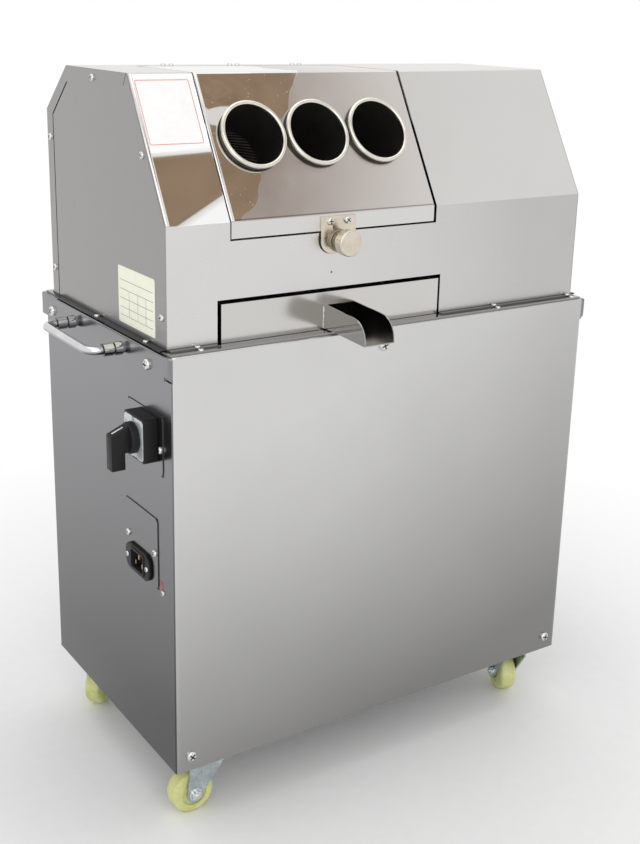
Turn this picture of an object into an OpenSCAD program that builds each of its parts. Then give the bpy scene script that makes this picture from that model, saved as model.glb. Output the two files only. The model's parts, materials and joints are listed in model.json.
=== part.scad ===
// Electric sugarcane juicer: a folded-sheet cabinet on castors, a hood with a hinged feed lid,
// a three-roller mill under it, and a motor with belt and reducer that turns the rollers.
// Millimetres, +Z up, floor at z = 0, front towards -Y, origin under the middle of the machine.

/* [Cabinet] */
// Width of the cabinet body
cabinet_w = 560; // [480:1:640]
// Depth of the cabinet body
cabinet_d = 336; // [310:1:400]
// Height from the cabinet's bottom edge to its rim
cabinet_h = 475; // [400:1:560]
// Height of the skirt round the rim
skirt_h = 26; // [22:1:40]
// How far the skirt stands out from the sides
skirt_out = 4; // [3:0.5:8]
// Thickness of the cabinet sheet
sheet_t = 1.2; // [1:0.1:2]
// Outer radius of the folds
bend_r = 3; // [2.5:0.1:4]
// Thickness of the deck plate
deck_t = 2; // [1.5:0.1:3]
// Leg of the corner posts
post_leg = 30; // [20:1:34]

/* [Hood] */
// Step from the cabinet's sides to the hood's ends
hood_in = 3; // [2:0.5:8]
// Step from the cabinet's front to the hood's front
hood_back = 18; // [13:0.5:20]
// Height of the hood above the deck
hood_h = 267; // [262:1:300]
// Height of the upright front above the deck
hood_front_h = 125; // [118:1:130]
// Tilt of the slope from level
slope_deg = 60; // [57:0.5:64]
// Depth of the rear chamfer
chamfer_run = 62; // [50:1:66]
// Drop of the rear chamfer
chamfer_drop = 51; // [40:1:60]
// Thickness of the hood sheet
hood_t = 1.5; // [1.2:0.1:2]
// Width of the foot flange
flange_w = 7; // [6.5:0.5:7]
// Width of the rear cover's side flanges
rear_flange_w = 17; // [14:1:22]

/* [Feed lid] */
// Strip of slope left of the lid
lid_strip = 74; // [68:1:82]
// Room for the drive right of the lid
drive_room = 221.6; // [216:0.1:232]
// Height of the lid's front lip
lip_h = 17; // [14:0.5:22]
// Gap round the lid
lid_gap = 2; // [1.5:0.1:3]
// Margin between the outer feed tubes and the lid's sides
tube_margin = 14.3; // [12.5:0.1:18]
// Thickness of a feed tube's wall
tube_t = 1.5; // [1.2:0.1:2]
// Gap between feed tubes
tube_gap = 6; // [5:0.1:9]
// Feed tubes' shift from the middle of the lid
tube_shift = -1.2; // [-5:0.1:6]
// Feed tubes' place up the slope
tube_up = 91; // [86:1:95]
// How far a feed tube stands out of the lid
tube_stand = 8; // [6:0.5:10]
// Gap between a feed tube's inner end and the rollers
tube_clear = 33.3; // [25:0.1:60]
// Diameter of the rolled bead on a feed tube
bead_d = 4.8; // [3.5:0.1:5]
// Hinge axis from the rear edge of the top
hinge_inset = 28; // [24:1:34]
// Diameter of the hinge knuckles
knuckle_d = 6; // [5:0.1:6.4]
// Diameter of the hinge pin
hinge_pin_d = 3; // [2:0.1:3.4]

/* [Latch] */
// Width of the latch bracket
bracket_w = 44; // [40:1:50]
// Height of the latch bracket
bracket_h = 39.5; // [38:0.5:44]
// Thickness of the latch bracket
bracket_t = 2; // [1.6:0.1:3]
// Diameter of the pull knob
pull_d = 28; // [22:0.5:32]
// Length of the pull knob
pull_len = 12; // [9:0.5:16]
// Diameter of the latch collar
collar_d = 25; // [20:0.5:28]
// Length of the latch collar
collar_len = 8; // [6:0.5:12]
// Diameter of the latch pin
latch_pin_d = 8; // [6:0.1:10]
// Travel of the latch pin
latch_travel = 4; // [3:0.5:6]

/* [Juice tray] */
// How far the tray slot reaches past the lid at each side
slot_over = 14.8; // [13.8:0.1:15.3]
// Height of the tray slot above the deck
slot_h = 46; // [44:0.5:50]
// Height of the tray
tray_h = 41; // [36:0.5:42]
// Gap between the tray and the hood's rear
tray_behind = 31; // [20:1:60]
// Width of the spout
spout_w = 38; // [30:1:48]
// How far the spout stands out from the cabinet
spout_reach = 58; // [45:1:75]
// Height of the spout's sides
spout_h = 27; // [22:0.5:30]

/* [Mill] */
// Teeth of a roller gear
gear_teeth = 19; // [18:1:19]
// Module of the roller gears
gear_module = 4; // [3.9:0.05:4.05]
// Gap between the rollers of a pair
roller_gap = 2; // [1.5:0.1:4]
// Distance between the two lower rollers
lower_spread = 88; // [86.5:0.5:90]
// Distance from the top roller to the hood's rear
mill_back = 98; // [97:1:104]
// Diameter of the roller shafts
shaft_d = 30; // [24:1:32]
// Flutes round a roller
flutes = 30; // [20:1:40]
// Depth of a flute
flute_deep = 2; // [1:0.1:3]
// Thickness of the bearing plates
plate_t = 10; // [8:0.5:12]
// Face width of the roller gears
gear_w = 24; // [18:1:28]

/* [Drive] */
// Diameter of the reducer pulley
big_pulley_d = 140; // [120:1:150]
// Diameter of the motor pulley
small_pulley_d = 56; // [50:1:70]
// Width of a pulley
pulley_w = 20; // [18:0.5:24]
// Height of the motor shaft above its feet
motor_h = 80; // [76:1:90]
// Diameter of the motor body
motor_d = 140; // [110:1:148]
// Length of the motor body
motor_len = 200; // [160:1:216]

/* [Castors] */
// Height from the floor to the cabinet's bottom edge
castor_h = 72; // [68:0.5:90]
// Diameter of the wheels
wheel_d = 51; // [46:0.5:54]
// Width of the wheels
wheel_w = 21; // [16:0.5:24]
// Trail of the wheels behind the swivels
trail = 17; // [14:0.5:20]
// Swivels' distance from the cabinet's sides
swivel_in = 49; // [45:1:60]
// Swivels' distance from the cabinet's front and rear
swivel_back = 31; // [30:1:44]

/* [Controls and handles] */
// Side of the switch's square base
switch_w = 48; // [44:1:54]
// Depth of the switch's base
switch_deep = 15.5; // [11.5:0.5:19.5]
// Width of the inlet's flange
inlet_w = 60; // [56:0.5:66]
// Height of the inlet's flange
inlet_h = 31; // [28:0.5:34]
// Distance between the handle's posts
handle_pitch = 128; // [110:1:140]
// Diameter of the handle's bar
handle_d = 9; // [7:0.5:12]
// How far the handle stands out from the skirt
handle_reach = 44; // [44:0.5:56]

/* [Hidden] */
$fn = 48;
// Fits and small common sizes
cut = 1;
run_fit = 0.05;
slide_fit = 0.3;
part_gap = 0.4;
fold_steps = 4;
arc_steps = 8;
// Screws: pan heads on a short shank
screw_d = 4;
screw_head_d = 12;
screw_head_h = 3.6;
mid_head_d = 8.4;
mid_head_h = 2.6;
small_head_d = 6;
small_head_h = 2;
small_screw_d = 3;
head_crown_share = 0.6;
hole_fit = 0.05;
lug_screw_d = 6;
lug_head_d = 12;
lug_head_h = 4;

// Levels
edge_z = castor_h;
pan_t = 2;
pan_z = edge_z + pan_t;
rim_z = edge_z + cabinet_h;
skirt_z = rim_z - skirt_h;
deck_z = rim_z + deck_t;
under_cap_z = rim_z - sheet_t;

// Cabinet outline
side_x = cabinet_w / 2;
front_y = -cabinet_d / 2;
rear_y = cabinet_d / 2;
skirt_x = side_x + skirt_out;
skirt_rear_y = rear_y + sheet_t + skirt_out / 2;
inner_x = side_x - sheet_t;
rear_lip_w = 24;
ear_w = 10;
ear_cut = 5;
ear_cut_side = norm([ear_cut, ear_cut]);
cap_lip_w = 20;
rim_lip_w = 10;
deck_x = skirt_x - skirt_out;
deck_front_y = front_y + skirt_out;
deck_rear_y = skirt_rear_y - skirt_out;
post_t = 3;

// Hood outline, as seen from the left side
hood_w = cabinet_w - 2 * hood_in;
hood_d = cabinet_d - 2 * hood_back;
hood_x = hood_w / 2;
hood_front_y = -hood_d / 2;
hood_rear_y = hood_d / 2;
slope_z = deck_z + hood_front_h;
top_z = deck_z + hood_h;
crest_y = hood_front_y + (hood_h - hood_front_h) / tan(slope_deg);
ridge_y = hood_rear_y - chamfer_run;
chamfer_z = top_z - chamfer_drop;
shell_x = hood_x - hood_t;
flange_x = hood_x + flange_w;
seam_gap = 2;
slit_w = 0.8;
slit_len = 15;

// Feed lid and hinge
lid_gap_left = 1.3;
lid_gap_right = 3.5;
lid_w = hood_w - lid_strip - drive_room;
lid_x = lid_strip + lid_w / 2 - hood_x;
lid_x0 = lid_x - lid_w / 2;
lid_x1 = lid_x + lid_w / 2;
lip_z = slope_z - lip_h;
hinge_y = ridge_y - hinge_inset;
knuckle_r = knuckle_d / 2;
knuckle_sink = 0.2;
hinge_z = top_z - knuckle_r - knuckle_sink;
lid_rear_y = hinge_y - knuckle_r - knuckle_sink;
hood_edge_y = hinge_y + knuckle_r + 3 * part_gap;
leaf_t = 1.2;
leaf_w = 20;
leaf_z = top_z - hood_t - leaf_t;
hinge_len_share = 0.9;
hinge_len = lid_w * hinge_len_share;
knuckles = 5;
knuckle_len = hinge_len / knuckles;
tubes = 3;
tube_d = (lid_w - 2 * tube_margin - (tubes - 1) * tube_gap) / tubes;
tube_pitch = tube_d + tube_gap;
tube_r = tube_d / 2;
tube_x = [for (i = [-1:1]) lid_x + tube_shift + i * tube_pitch];
tube_collar_w = 1.6;

// Latch
latch_shift = -0.2;
latch_x = lid_x + latch_shift;
bracket_drop = 2;
bracket_z1 = slope_z - bracket_drop;
bracket_z0 = bracket_z1 - bracket_h;
latch_up = 13.3;
latch_z = bracket_z0 + latch_up;
bracket_round = 14;
bracket_screw_pitch = 22;
bracket_screw_drop = 5;
bracket_back = 0.5;
bracket_y = hood_front_y - bracket_t;
collar_y = bracket_y - collar_len;
pull_y = collar_y - latch_travel - part_gap;
collar_step_share = 0.8;
pull_round = 2;
catch_d = 20;
catch_len = 8;
catch_wall_d = 14;
catch_play = 1;

// Juice tray and spout
slot_shift = -1.2;
slot_w = lid_w + 2 * slot_over;
slot_x = lid_x + slot_shift;
slot_x0 = slot_x - slot_w / 2;
slot_x1 = slot_x + slot_w / 2;
slot_z = deck_z + slot_h;
tray_gap_left = 5;
tray_gap_right = 2;
tray_x0 = slot_x0 + tray_gap_left;
tray_x1 = slot_x1 - tray_gap_right;
tray_z = deck_z + part_gap;
tray_set_back = 1;
tray_front_y = hood_front_y + tray_set_back;
tray_rear_y = hood_rear_y - tray_behind;
tray_top = tray_z + tray_h;
tray_t = 1.2;
spout_shift = 4.8;
spout_x = lid_x + spout_shift;
spout_tip_y = front_y - spout_reach;
spout_bend_y = deck_front_y;
spout_lift = 0.8;
spout_z = tray_z + spout_lift;
spout_fall = 3;
spout_round = 24;
spout_nose = 4;

// Mill: the pitch of the gears sets the roller centres
mill_y = hood_rear_y - mill_back;
pair = gear_teeth * gear_module;
roller_d = pair - roller_gap;
tip_r = pair / 2 + gear_module;
mill_clear = 4.6;
lower_z = tray_top + tip_r + mill_clear;
lower_half = lower_spread / 2;
mill_drop = sqrt(pow(pair, 2) - pow(lower_half, 2));
top_roller_z = lower_z + mill_drop;
top_at = [mill_y, top_roller_z];
front_at = [mill_y - lower_half, lower_z];
rear_at = [mill_y + lower_half, lower_z];
tube_foot = [hood_front_y + tube_up * cos(slope_deg), slope_z + tube_up * sin(slope_deg)];
tube_way = [sin(slope_deg), -cos(slope_deg)];
tube_in = min((top_at - tube_foot) * tube_way, (front_at - tube_foot) * tube_way) - roller_d / 2
    - tube_clear;
plate_gap = 3;
plate_x0 = slot_x0 - plate_gap - plate_t;
plate_x1 = slot_x1 + plate_gap;
roller_x0 = plate_x0 + plate_t + plate_gap;
roller_x1 = plate_x1 - plate_gap;
bush_wall = 5;
bush_d = shaft_d + 2 * bush_wall;
bush_flange_d = bush_d + 2 * bush_wall;
bush_flange_t = 4;
plate_margin = 34;
plate_corner = 40;
plate_foot_w = 22;
gear_x = plate_x1 + plate_t + bush_flange_t + plate_gap;
shaft_end_x0 = plate_x0 - bush_flange_t - plate_gap;
shaft_end_x1 = gear_x + gear_w + plate_gap;
shaft_step = 6;
flute_shares = [0, 0.5, 0.65, 0.85];
pressure_deg = 20;
backlash = 0.35;
tooth_root = 1.25;
turner_head_w = 17;
turner_head_t = 6;
turner_web_t = 8;
turner_drop = 34;
turner_gap = 3.5;

// Drive: reducer on the deck, motor on the base pan
belt_wall_gap = 6;
belt_x = shell_x - pulley_w - belt_wall_gap;
reducer_gap = 32;
reducer_x0 = gear_x + gear_w + reducer_gap;
pulley_gap = 8;
reducer_x1 = belt_x - pulley_w / 2 - pulley_gap;
input_shift = [-84, -20];
input_at = top_at + input_shift;
motor_foot_t = 8;
rail_t = 8;
motor_at = [input_at.x, pan_z + rail_t + motor_h];
input_shaft_d = 20;
motor_shaft_d = 19;
reducer_big_r = 48;
reducer_small_r = 36;
reducer_foot_t = 12;
reducer_foot_over = 12;
reducer_rib_t = 6;
shaft_in = 30;
belt_w = 10;
belt_t = 8;
belt_sink = 0.6;
groove_floor = 11;
groove_flare = 2;
motor_x1 = belt_x - pulley_w / 2 - pulley_gap;
motor_x0 = motor_x1 - motor_len;
motor_bell_len = 22;
motor_nose_share = 0.6;
rail_w = 28;
rail_pitch = 96;
motor_fin_h = 8;
motor_fin_t = 3;
motor_fins = 20;
motor_flange_t = 6;
motor_fin_low = 2;
terminal_w = 70;
terminal_d = 60;
terminal_h = 34;
foot_span = 124;
foot_len = 110;
belt_hole_w = 30;
belt_hole_over = 10;
belt_hole_d = big_pulley_d + 2 * belt_hole_over;

// Bagasse chute behind the rollers
chute_lift = 30;
chute_z = lower_z + chute_lift;
chute_behind = 32;
chute_y0 = rear_at.x + chute_behind;
chute_tip_y = -spout_tip_y;
chute_fall_deg = 30;
chute_wall = 26;
chute_inset = 4;
chute_x0 = lid_x0 + chute_inset;
chute_x1 = lid_x1 - chute_inset;
outlet_h = 88;

// Castors
castor_plate_w = 52;
castor_plate_t = 2.5;
king_d = 10;
crown_d = 42;
crown_t = 3;
cheek_t = 2.4;
cheek_gap = 1.6;
axle_d = 8;
axle_head_d = 12;
axle_head_h = 4;
hub_d = 20;
tread_round = 5;
plate_z = edge_z - castor_plate_t;
crown_z = plate_z - slide_fit - crown_t;
cheek_x = wheel_w / 2 + cheek_gap;
swivel_x = side_x - swivel_in;
swivel_y = rear_y - swivel_back;
fork_w = 44;
fork_foot_r = 10.5;
castor_bolt_pitch = 38;
fl_turn_deg = 180;
fr_turn_deg = 73;
rl_turn_deg = 220;
rr_turn_deg = 150;

// Controls on the left side
switch_plate_w = 82;
switch_plate_h = 65;
switch_plate_shift = 7;
switch_screw_in = 5;
switch_plate_lower = 4.5;
plate_sheet = 1;
plate_round = 6;
switch_from_front = 56;
switch_y = front_y + switch_from_front;
switch_drop = 96;
switch_z = rim_z - switch_drop;
switch_plate_y = switch_y + switch_plate_shift;
switch_plate_z = switch_z - switch_plate_lower;
switch_face_t = 1;
switch_rim = 2;
switch_round = 4;
switch_neck_d = 22;
switch_back_w = 42;
switch_back_len = 40;
knob_d = 34;
knob_t = 8;
grip_w = 13;
grip_up = 14;
grip_brow = 6;
grip_out = 27;
grip_root = 14;
grip_down = 32;
grip_deep = 15;
knob_round = 3;
knob_shaft_d = 8;
knob_shaft_len = 12;
inlet_plate_w = 78;
inlet_plate_h = 81;
inlet_from_front = 82;
inlet_y = front_y + inlet_from_front;
inlet_drop = 251;
inlet_z = rim_z - inlet_drop;
inlet_plate_shift = 6;
inlet_plate_y = inlet_y - inlet_plate_shift;
inlet_plate_lift = 24.5;
inlet_plate_z = inlet_z + inlet_plate_lift;
inlet_flange_t = 3;
inlet_round = 12;
inlet_body_w = 34;
inlet_body_h = 25;
inlet_stand = 1.2;
inlet_back = 26;
inlet_wall = 2.4;
inlet_deep = 17;
inlet_screw_pitch = 48;
blade_w = 5;
blade_t = 2;
blade_len = 14;
blade_pitch = 8;
blade_shift = 4;
earth_from_front = 27;
earth_lower = 16;
earth_at = [front_y + earth_from_front, inlet_z - earth_lower];
plate_screw_drop = 4;

// Handles
handle_z = rim_z - skirt_h / 2;
handle_bend = 12;
ferrule_foot_d = 10.5;
ferrule_foot_len = 4;
ferrule_d = 14.5;
ferrule_len = 8;
ferrule_groove = 1.6;
ferrule_sleeve_d = 13.8;
ferrule_sleeve_len = 11;

// Screw places
screw_in = 9;
top_screw_y = 16;
slope_screw_up = 80;
low_screw_up = 33;
high_screw_up = 185;
end_screws = [[top_screw_y, top_z - screw_in],
    [hood_front_y + slope_screw_up * cos(slope_deg) + screw_in * sin(slope_deg),
        slope_z + slope_screw_up * sin(slope_deg) - screw_in * cos(slope_deg)],
    [hood_front_y + screw_in, deck_z + low_screw_up],
    [hood_rear_y - screw_in, deck_z + high_screw_up], [hood_rear_y - screw_in, deck_z + low_screw_up]];
flange_screw_shares = [0.047, -0.367];
flange_screw_y = flange_screw_shares * hood_d;
deck_screw_shares = [-0.44, 0.27, 0.484];
deck_screw_x = deck_screw_shares * hood_w;
front_screw_in = 18;
front_screw_x = side_x - front_screw_in;
front_screw_z = edge_z + front_screw_in;
lug_screw_shift = 48;
lug_screw_at = [spout_x + lug_screw_shift, skirt_z + lug_head_d / 2];
skirt_screw_shares = [0.41, -0.36];
skirt_screw_y = skirt_screw_shares * cabinet_d;
skirt_screw_down = 17;
skirt_screw_z = rim_z - skirt_screw_down;
hinge_screw_step = 5;
hinge_screw_x = [for (side = [-1:1]) for (way = [-1,
    1]) lid_x + side * lid_w / 3 + way * hinge_screw_step];
hinge_screw_in = 11;
hinge_screw_y = ridge_y - hinge_screw_in;
rear_panel_in = 10;
rear_panel_w = cabinet_w - 2 * rear_panel_in;
rear_screw_x = side_x - 2 * rear_lip_w / 3;
rear_screw_shares = [0.06, 0.5, 0.94];
rear_screw_z = [for (share = rear_screw_shares) edge_z + share * (cabinet_h - skirt_h)];
louvre_w = 120;
louvre_h = 5;
louvre_rows = 8;
louvre_step = 18;
louvre_up = 120;
louvre_z = edge_z + louvre_up;
louvre_round = 2;

// Folded sheets: a path of corners, rounded at the folds and thickened to its right-hand side
function unit(v) = v / norm(v);
function right_of(v) = [v.y, -v.x];
function last(p) = p[len(p) - 1];
function turned(p) = [for (i = [len(p) - 1:-1:0]) p[i]];
function fold(a, b, c, r) =
    let (d = unit(b - a), e = unit(c - b), reach = r * tan(acos(d * e) / 2),
        p = b - d * reach, q = b + e * reach)
    [for (i = [0:fold_steps]) let (u = i / fold_steps)
        pow(1 - u, 2) * p + 2 * u * (1 - u) * b + pow(u, 2) * q];
function folded(p, r) = concat([p[0]],
    [for (i = [1:len(p) - 2]) each fold(p[i - 1], p[i], p[i + 1], r)], [last(p)]);
function side_step(p, i) =
    let (n = len(p) - 1,
        before = right_of(unit(p[max(i, 1)] - p[max(i, 1) - 1])),
        after = right_of(unit(p[min(i, n - 1) + 1] - p[min(i, n - 1)])))
    (before + after) / (1 + before * after);
function beside(p, t) = [for (i = [0:len(p) - 1]) p[i] + t * side_step(p, i)];
module sheet(path, t, r = bend_r) {
    outer = folded(path, r);
    polygon(concat(outer, turned(beside(outer, t))));
}

// Extrusions along an axis: (y, z) drawings along X, (x, z) drawings along Y
module along_x(x0, x1) translate([x0, 0, 0]) rotate([90, 0, 90]) linear_extrude(x1 - x0) children();
module along_y(y0, y1) translate([0, y1, 0]) rotate([90, 0, 0]) linear_extrude(y1 - y0) children();
module along_z(z0, z1) translate([0, 0, z0]) linear_extrude(z1 - z0) children();
module box(x, y, z) translate([x[0], y[0], z[0]]) cube([x[1] - x[0], y[1] - y[0], z[1] - z[0]]);
module rounded(w, h, r) {
    square([w - 2 * r, h], center = true);
    square([w, h - 2 * r], center = true);
    for (x = [-1, 1]) for (y = [-1, 1]) translate([x * (w / 2 - r), y * (h / 2 - r)]) circle(r);
}
module both_sides() {
    children();
    mirror([1, 0, 0]) children();
}

// Places: +Z of the child points out of the named face
module on_left(y, z, x = side_x) translate([-x, y, z]) rotate([0, -90, 0]) children();
module on_right(y, z, x = side_x) translate([x, y, z]) rotate([0, 90, 0]) children();
module on_front(x, z, y = front_y) translate([x, y, z]) rotate([90, 0, 0]) children();
module on_rear(x, z, y = rear_y) translate([x, y, z]) rotate([-90, 0, 0]) children();
module on_slope(x, up)
    translate([x, hood_front_y + up * cos(slope_deg), slope_z + up * sin(slope_deg)])
        rotate([slope_deg, 0, 0]) children();
module shaft_x(at, x0, x1, d) translate([x0, at.x, at.y]) rotate([0, 90, 0]) cylinder(d = d, h = x1 - x0);

// A pan-head screw on its sheet, and the hole it needs
module screw(d, head_d, head_h, grip) {
    rotate_extrude() polygon([[0, 0], [head_d / 2, 0], [head_d / 2, head_h * (1 - head_crown_share)],
        [head_d / 2 * head_crown_share, head_h], [0, head_h]]);
    translate([0, 0, -grip]) cylinder(d = d, h = grip);
}
module big_screw(grip) screw(screw_d, screw_head_d, screw_head_h, grip);
module small_screw(grip) screw(small_screw_d, small_head_d, small_head_h, grip);
module mid_screw(grip) screw(small_screw_d, mid_head_d, mid_head_h, grip);
module screw_hole(d, grip) translate([0, 0, -grip - cut]) cylinder(d = d + 2 * hole_fit,
    h = grip + 2 * cut);

// Gears and rollers, drawn in (y, z)
function roll_deg(base, r) = sqrt(max(pow(r / base, 2) - 1, 0)) * 180 / PI;
function flank_deg(base, r) = roll_deg(base, r) - acos(min(base / r, 1));
module gear_face(turn) {
    pitch_r = pair / 2;
    base = pitch_r * cos(pressure_deg);
    root = pitch_r - tooth_root * gear_module;
    half = 90 / gear_teeth - backlash / pitch_r * 90 / PI + flank_deg(base, pitch_r);
    radii = [root, for (i = [0:fold_steps]) base + (tip_r - base) * i / fold_steps];
    flank = [for (r = radii) [r, half - flank_deg(base, r)]];
    polygon([for (i = [0:gear_teeth - 1]) let (a = turn + i * 360 / gear_teeth)
        each concat([for (p = flank) p[0] * [cos(a - p[1]), sin(a - p[1])]],
            [for (p = turned(flank)) p[0] * [cos(a + p[1]), sin(a + p[1])]])]);
}
function mesh_turn(at) = let (d = at - top_at, a = atan2(d.y, d.x)) 2 * a + 180 - 180 / gear_teeth;
module roller_gear(at, turn) along_x(gear_x, gear_x + gear_w) difference() {
    translate(at) gear_face(turn);
    translate(at) circle(d = shaft_d);
}
module flute_face() {
    r = roller_d / 2;
    polygon([for (i = [0:flutes - 1]) for (k = [0:3])
        let (a = (i + flute_shares[k]) * 360 / flutes, deep = k < 2 ? 0 : flute_deep)
        (r - deep) * [cos(a), sin(a)]]);
}
module roller(at, end_x) {
    along_x(roller_x0, roller_x1) translate(at) flute_face();
    shaft_x(at, roller_x0 - plate_gap + part_gap, roller_x1 + plate_gap - part_gap, shaft_d + shaft_step);
    shaft_x(at, shaft_end_x0, end_x, shaft_d);
}
mill_places = [top_at, front_at, rear_at];

// V-belt loop and pulleys
belt_gap = norm(input_at - motor_at);
module belt_loop(big_r, small_r) {
    lean = asin((big_r - small_r) / belt_gap);
    steps = 3 * arc_steps;
    polygon(concat(
        [for (i = [0:steps]) let (a = -lean + i * (180 + 2 * lean) / steps) input_at + big_r * [cos(a),
            sin(a)]],
        [for (i = [0:steps]) let (a = 180 + lean + i * (180 - 2 * lean) / steps)
            motor_at + small_r * [cos(a), sin(a)]]));
}
module pulley(at, d, shaft, shaft_x0) {
    translate([belt_x, at.x, at.y]) rotate([0, 90, 0]) rotate_extrude() difference() {
        translate([0, -pulley_w / 2]) square([d / 2, pulley_w]);
        polygon([[d / 2 + cut, -belt_w / 2 - groove_flare], [d / 2 - groove_floor,
            -belt_w / 2 - part_gap],
            [d / 2 - groove_floor, belt_w / 2 + part_gap], [d / 2 + cut, belt_w / 2 + groove_flare]]);
    }
    shaft_x(at, shaft_x0, belt_x + pulley_w / 2 + plate_gap, shaft);
}

// Cabinet
module cabinet_wrap() color("silver") difference() {
    union() {
        along_z(edge_z, under_cap_z) sheet([[side_x - rear_lip_w, rear_y], [side_x, rear_y], [side_x,
            front_y],
            [-side_x, front_y], [-side_x, rear_y], [rear_lip_w - side_x, rear_y]], sheet_t);
        along_x(-skirt_x, skirt_x) sheet([[front_y, skirt_z], [front_y, rim_z],
            [front_y + rim_lip_w, rim_z]], sheet_t, sheet_t * 2);
        both_sides() box([skirt_x - sheet_t, skirt_x], [front_y, front_y + ear_w], [skirt_z,
            under_cap_z]);
    }
    both_sides() on_front(skirt_x, skirt_z) rotate(45)
        cube([ear_cut_side, ear_cut_side, 3 * ear_w], center = true);
    for (x = [-1, 1]) on_front(x * front_screw_x, front_screw_z) screw_hole(screw_d, sheet_t);
    on_front(lug_screw_at[0], lug_screw_at[1]) screw_hole(lug_screw_d, 2 * sheet_t);
    on_left(switch_y, switch_z) screw_hole(switch_neck_d, sheet_t);
    on_left(inlet_y, inlet_z) cube([inlet_body_h + 2 * part_gap, inlet_body_w + 2 * part_gap,
        4 * sheet_t], center = true);
    on_left(earth_at[0], earth_at[1]) screw_hole(small_screw_d, sheet_t);
    for (x = [-1, 1]) for (z = rear_screw_z) on_rear(x * rear_screw_x, z) screw_hole(screw_d, sheet_t);
}
module rear_panel() color("lightgray") difference() {
    along_y(rear_y, rear_y + sheet_t) difference() {
        translate([-rear_panel_w / 2, pan_z]) square([rear_panel_w, skirt_z - pan_z]);
        for (x = [-1, 1]) for (i = [0:louvre_rows - 1])
            translate([x * rear_panel_w / 4, louvre_z + i * louvre_step])
                rounded(louvre_w, louvre_h, louvre_round);
        for (x = [-1, 1]) for (z = rear_screw_z) translate([x * rear_screw_x, z])
            circle(d = screw_d + 2 * hole_fit);
    }
}
module base_pan() color("gray") along_z(edge_z, pan_z) difference() {
    rounded(2 * inner_x, cabinet_d - 2 * sheet_t, bend_r);
    for (x = [-1, 1]) for (y = [-1, 1]) translate([x * swivel_x, y * swivel_y])
        circle(d = king_d + 2 * run_fit);
    for (i = [-3:3]) translate([-side_x / 2 + i * louvre_step, 0])
        rounded(louvre_h, louvre_w, louvre_round);
}
module frame_posts() color("dimgray") for (y = [-1, 1]) both_sides() along_z(pan_z, under_cap_z - bend_r)
    translate([inner_x, y * (rear_y - sheet_t)]) mirror([1, 0]) mirror([0, (y + 1) / 2])
        polygon([[bend_r, 0], [post_leg, 0], [post_leg, post_t], [post_t, post_t], [post_t, post_leg],
            [0, post_leg], [0, bend_r]]);
module cap_frame() color("silver") difference() {
    union() {
        both_sides() along_y(front_y + ear_w, skirt_rear_y) sheet([[-skirt_x, skirt_z], [-skirt_x, rim_z],
            [cap_lip_w - skirt_x, rim_z]], sheet_t, sheet_t * 2);
        along_x(-skirt_x + sheet_t, skirt_x - sheet_t) sheet([[skirt_rear_y - cap_lip_w, rim_z],
            [skirt_rear_y, rim_z],
            [skirt_rear_y, skirt_z]], sheet_t, sheet_t * 2);
    }
    for (y = skirt_screw_y) {
        on_left(y, skirt_screw_z, skirt_x) screw_hole(screw_d, sheet_t);
        on_right(y, skirt_screw_z, skirt_x) screw_hole(screw_d, sheet_t);
    }
}
module deck_plate() color("silver") difference() {
    box([-deck_x, deck_x], [deck_front_y, deck_rear_y], [rim_z, deck_z]);
    box([belt_x - belt_hole_w / 2, belt_x + belt_hole_w / 2],
        [input_at.x - belt_hole_d / 2, input_at.x + belt_hole_d / 2], [rim_z - cut, deck_z + cut]);
    for (x = deck_screw_x) translate([x, deck_front_y + small_head_d / 2, deck_z])
        screw_hole(small_screw_d, deck_t);
}
module cabinet_screws() color("gainsboro") {
    for (x = [-1, 1]) on_front(x * front_screw_x, front_screw_z) big_screw(sheet_t);
    on_front(lug_screw_at[0], lug_screw_at[1]) screw(lug_screw_d, lug_head_d, lug_head_h, sheet_t);
    for (y = skirt_screw_y) {
        on_left(y, skirt_screw_z, skirt_x) big_screw(sheet_t);
        on_right(y, skirt_screw_z, skirt_x) big_screw(sheet_t);
    }
    for (x = [-1, 1]) for (z = rear_screw_z) on_rear(x * rear_screw_x, z, rear_y + sheet_t)
        big_screw(2 * sheet_t);
    for (x = deck_screw_x) translate([x, deck_front_y + small_head_d / 2, deck_z]) small_screw(deck_t);
    on_left(earth_at[0], earth_at[1]) small_screw(sheet_t);
    on_left(switch_plate_y - switch_plate_w / 2 + switch_screw_in, switch_plate_z - plate_screw_drop,
        side_x + plate_sheet)
        mid_screw(plate_sheet);
    for (y = [-1, 1]) {
        on_left(inlet_plate_y + y * (inlet_plate_w / 2 - small_head_d), inlet_plate_z,
            side_x + plate_sheet)
            mid_screw(plate_sheet);
        on_left(inlet_y + y * inlet_screw_pitch / 2, inlet_z, side_x + plate_sheet + inlet_flange_t)
            small_screw(inlet_flange_t);
    }
    hood_screws();
}

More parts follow.
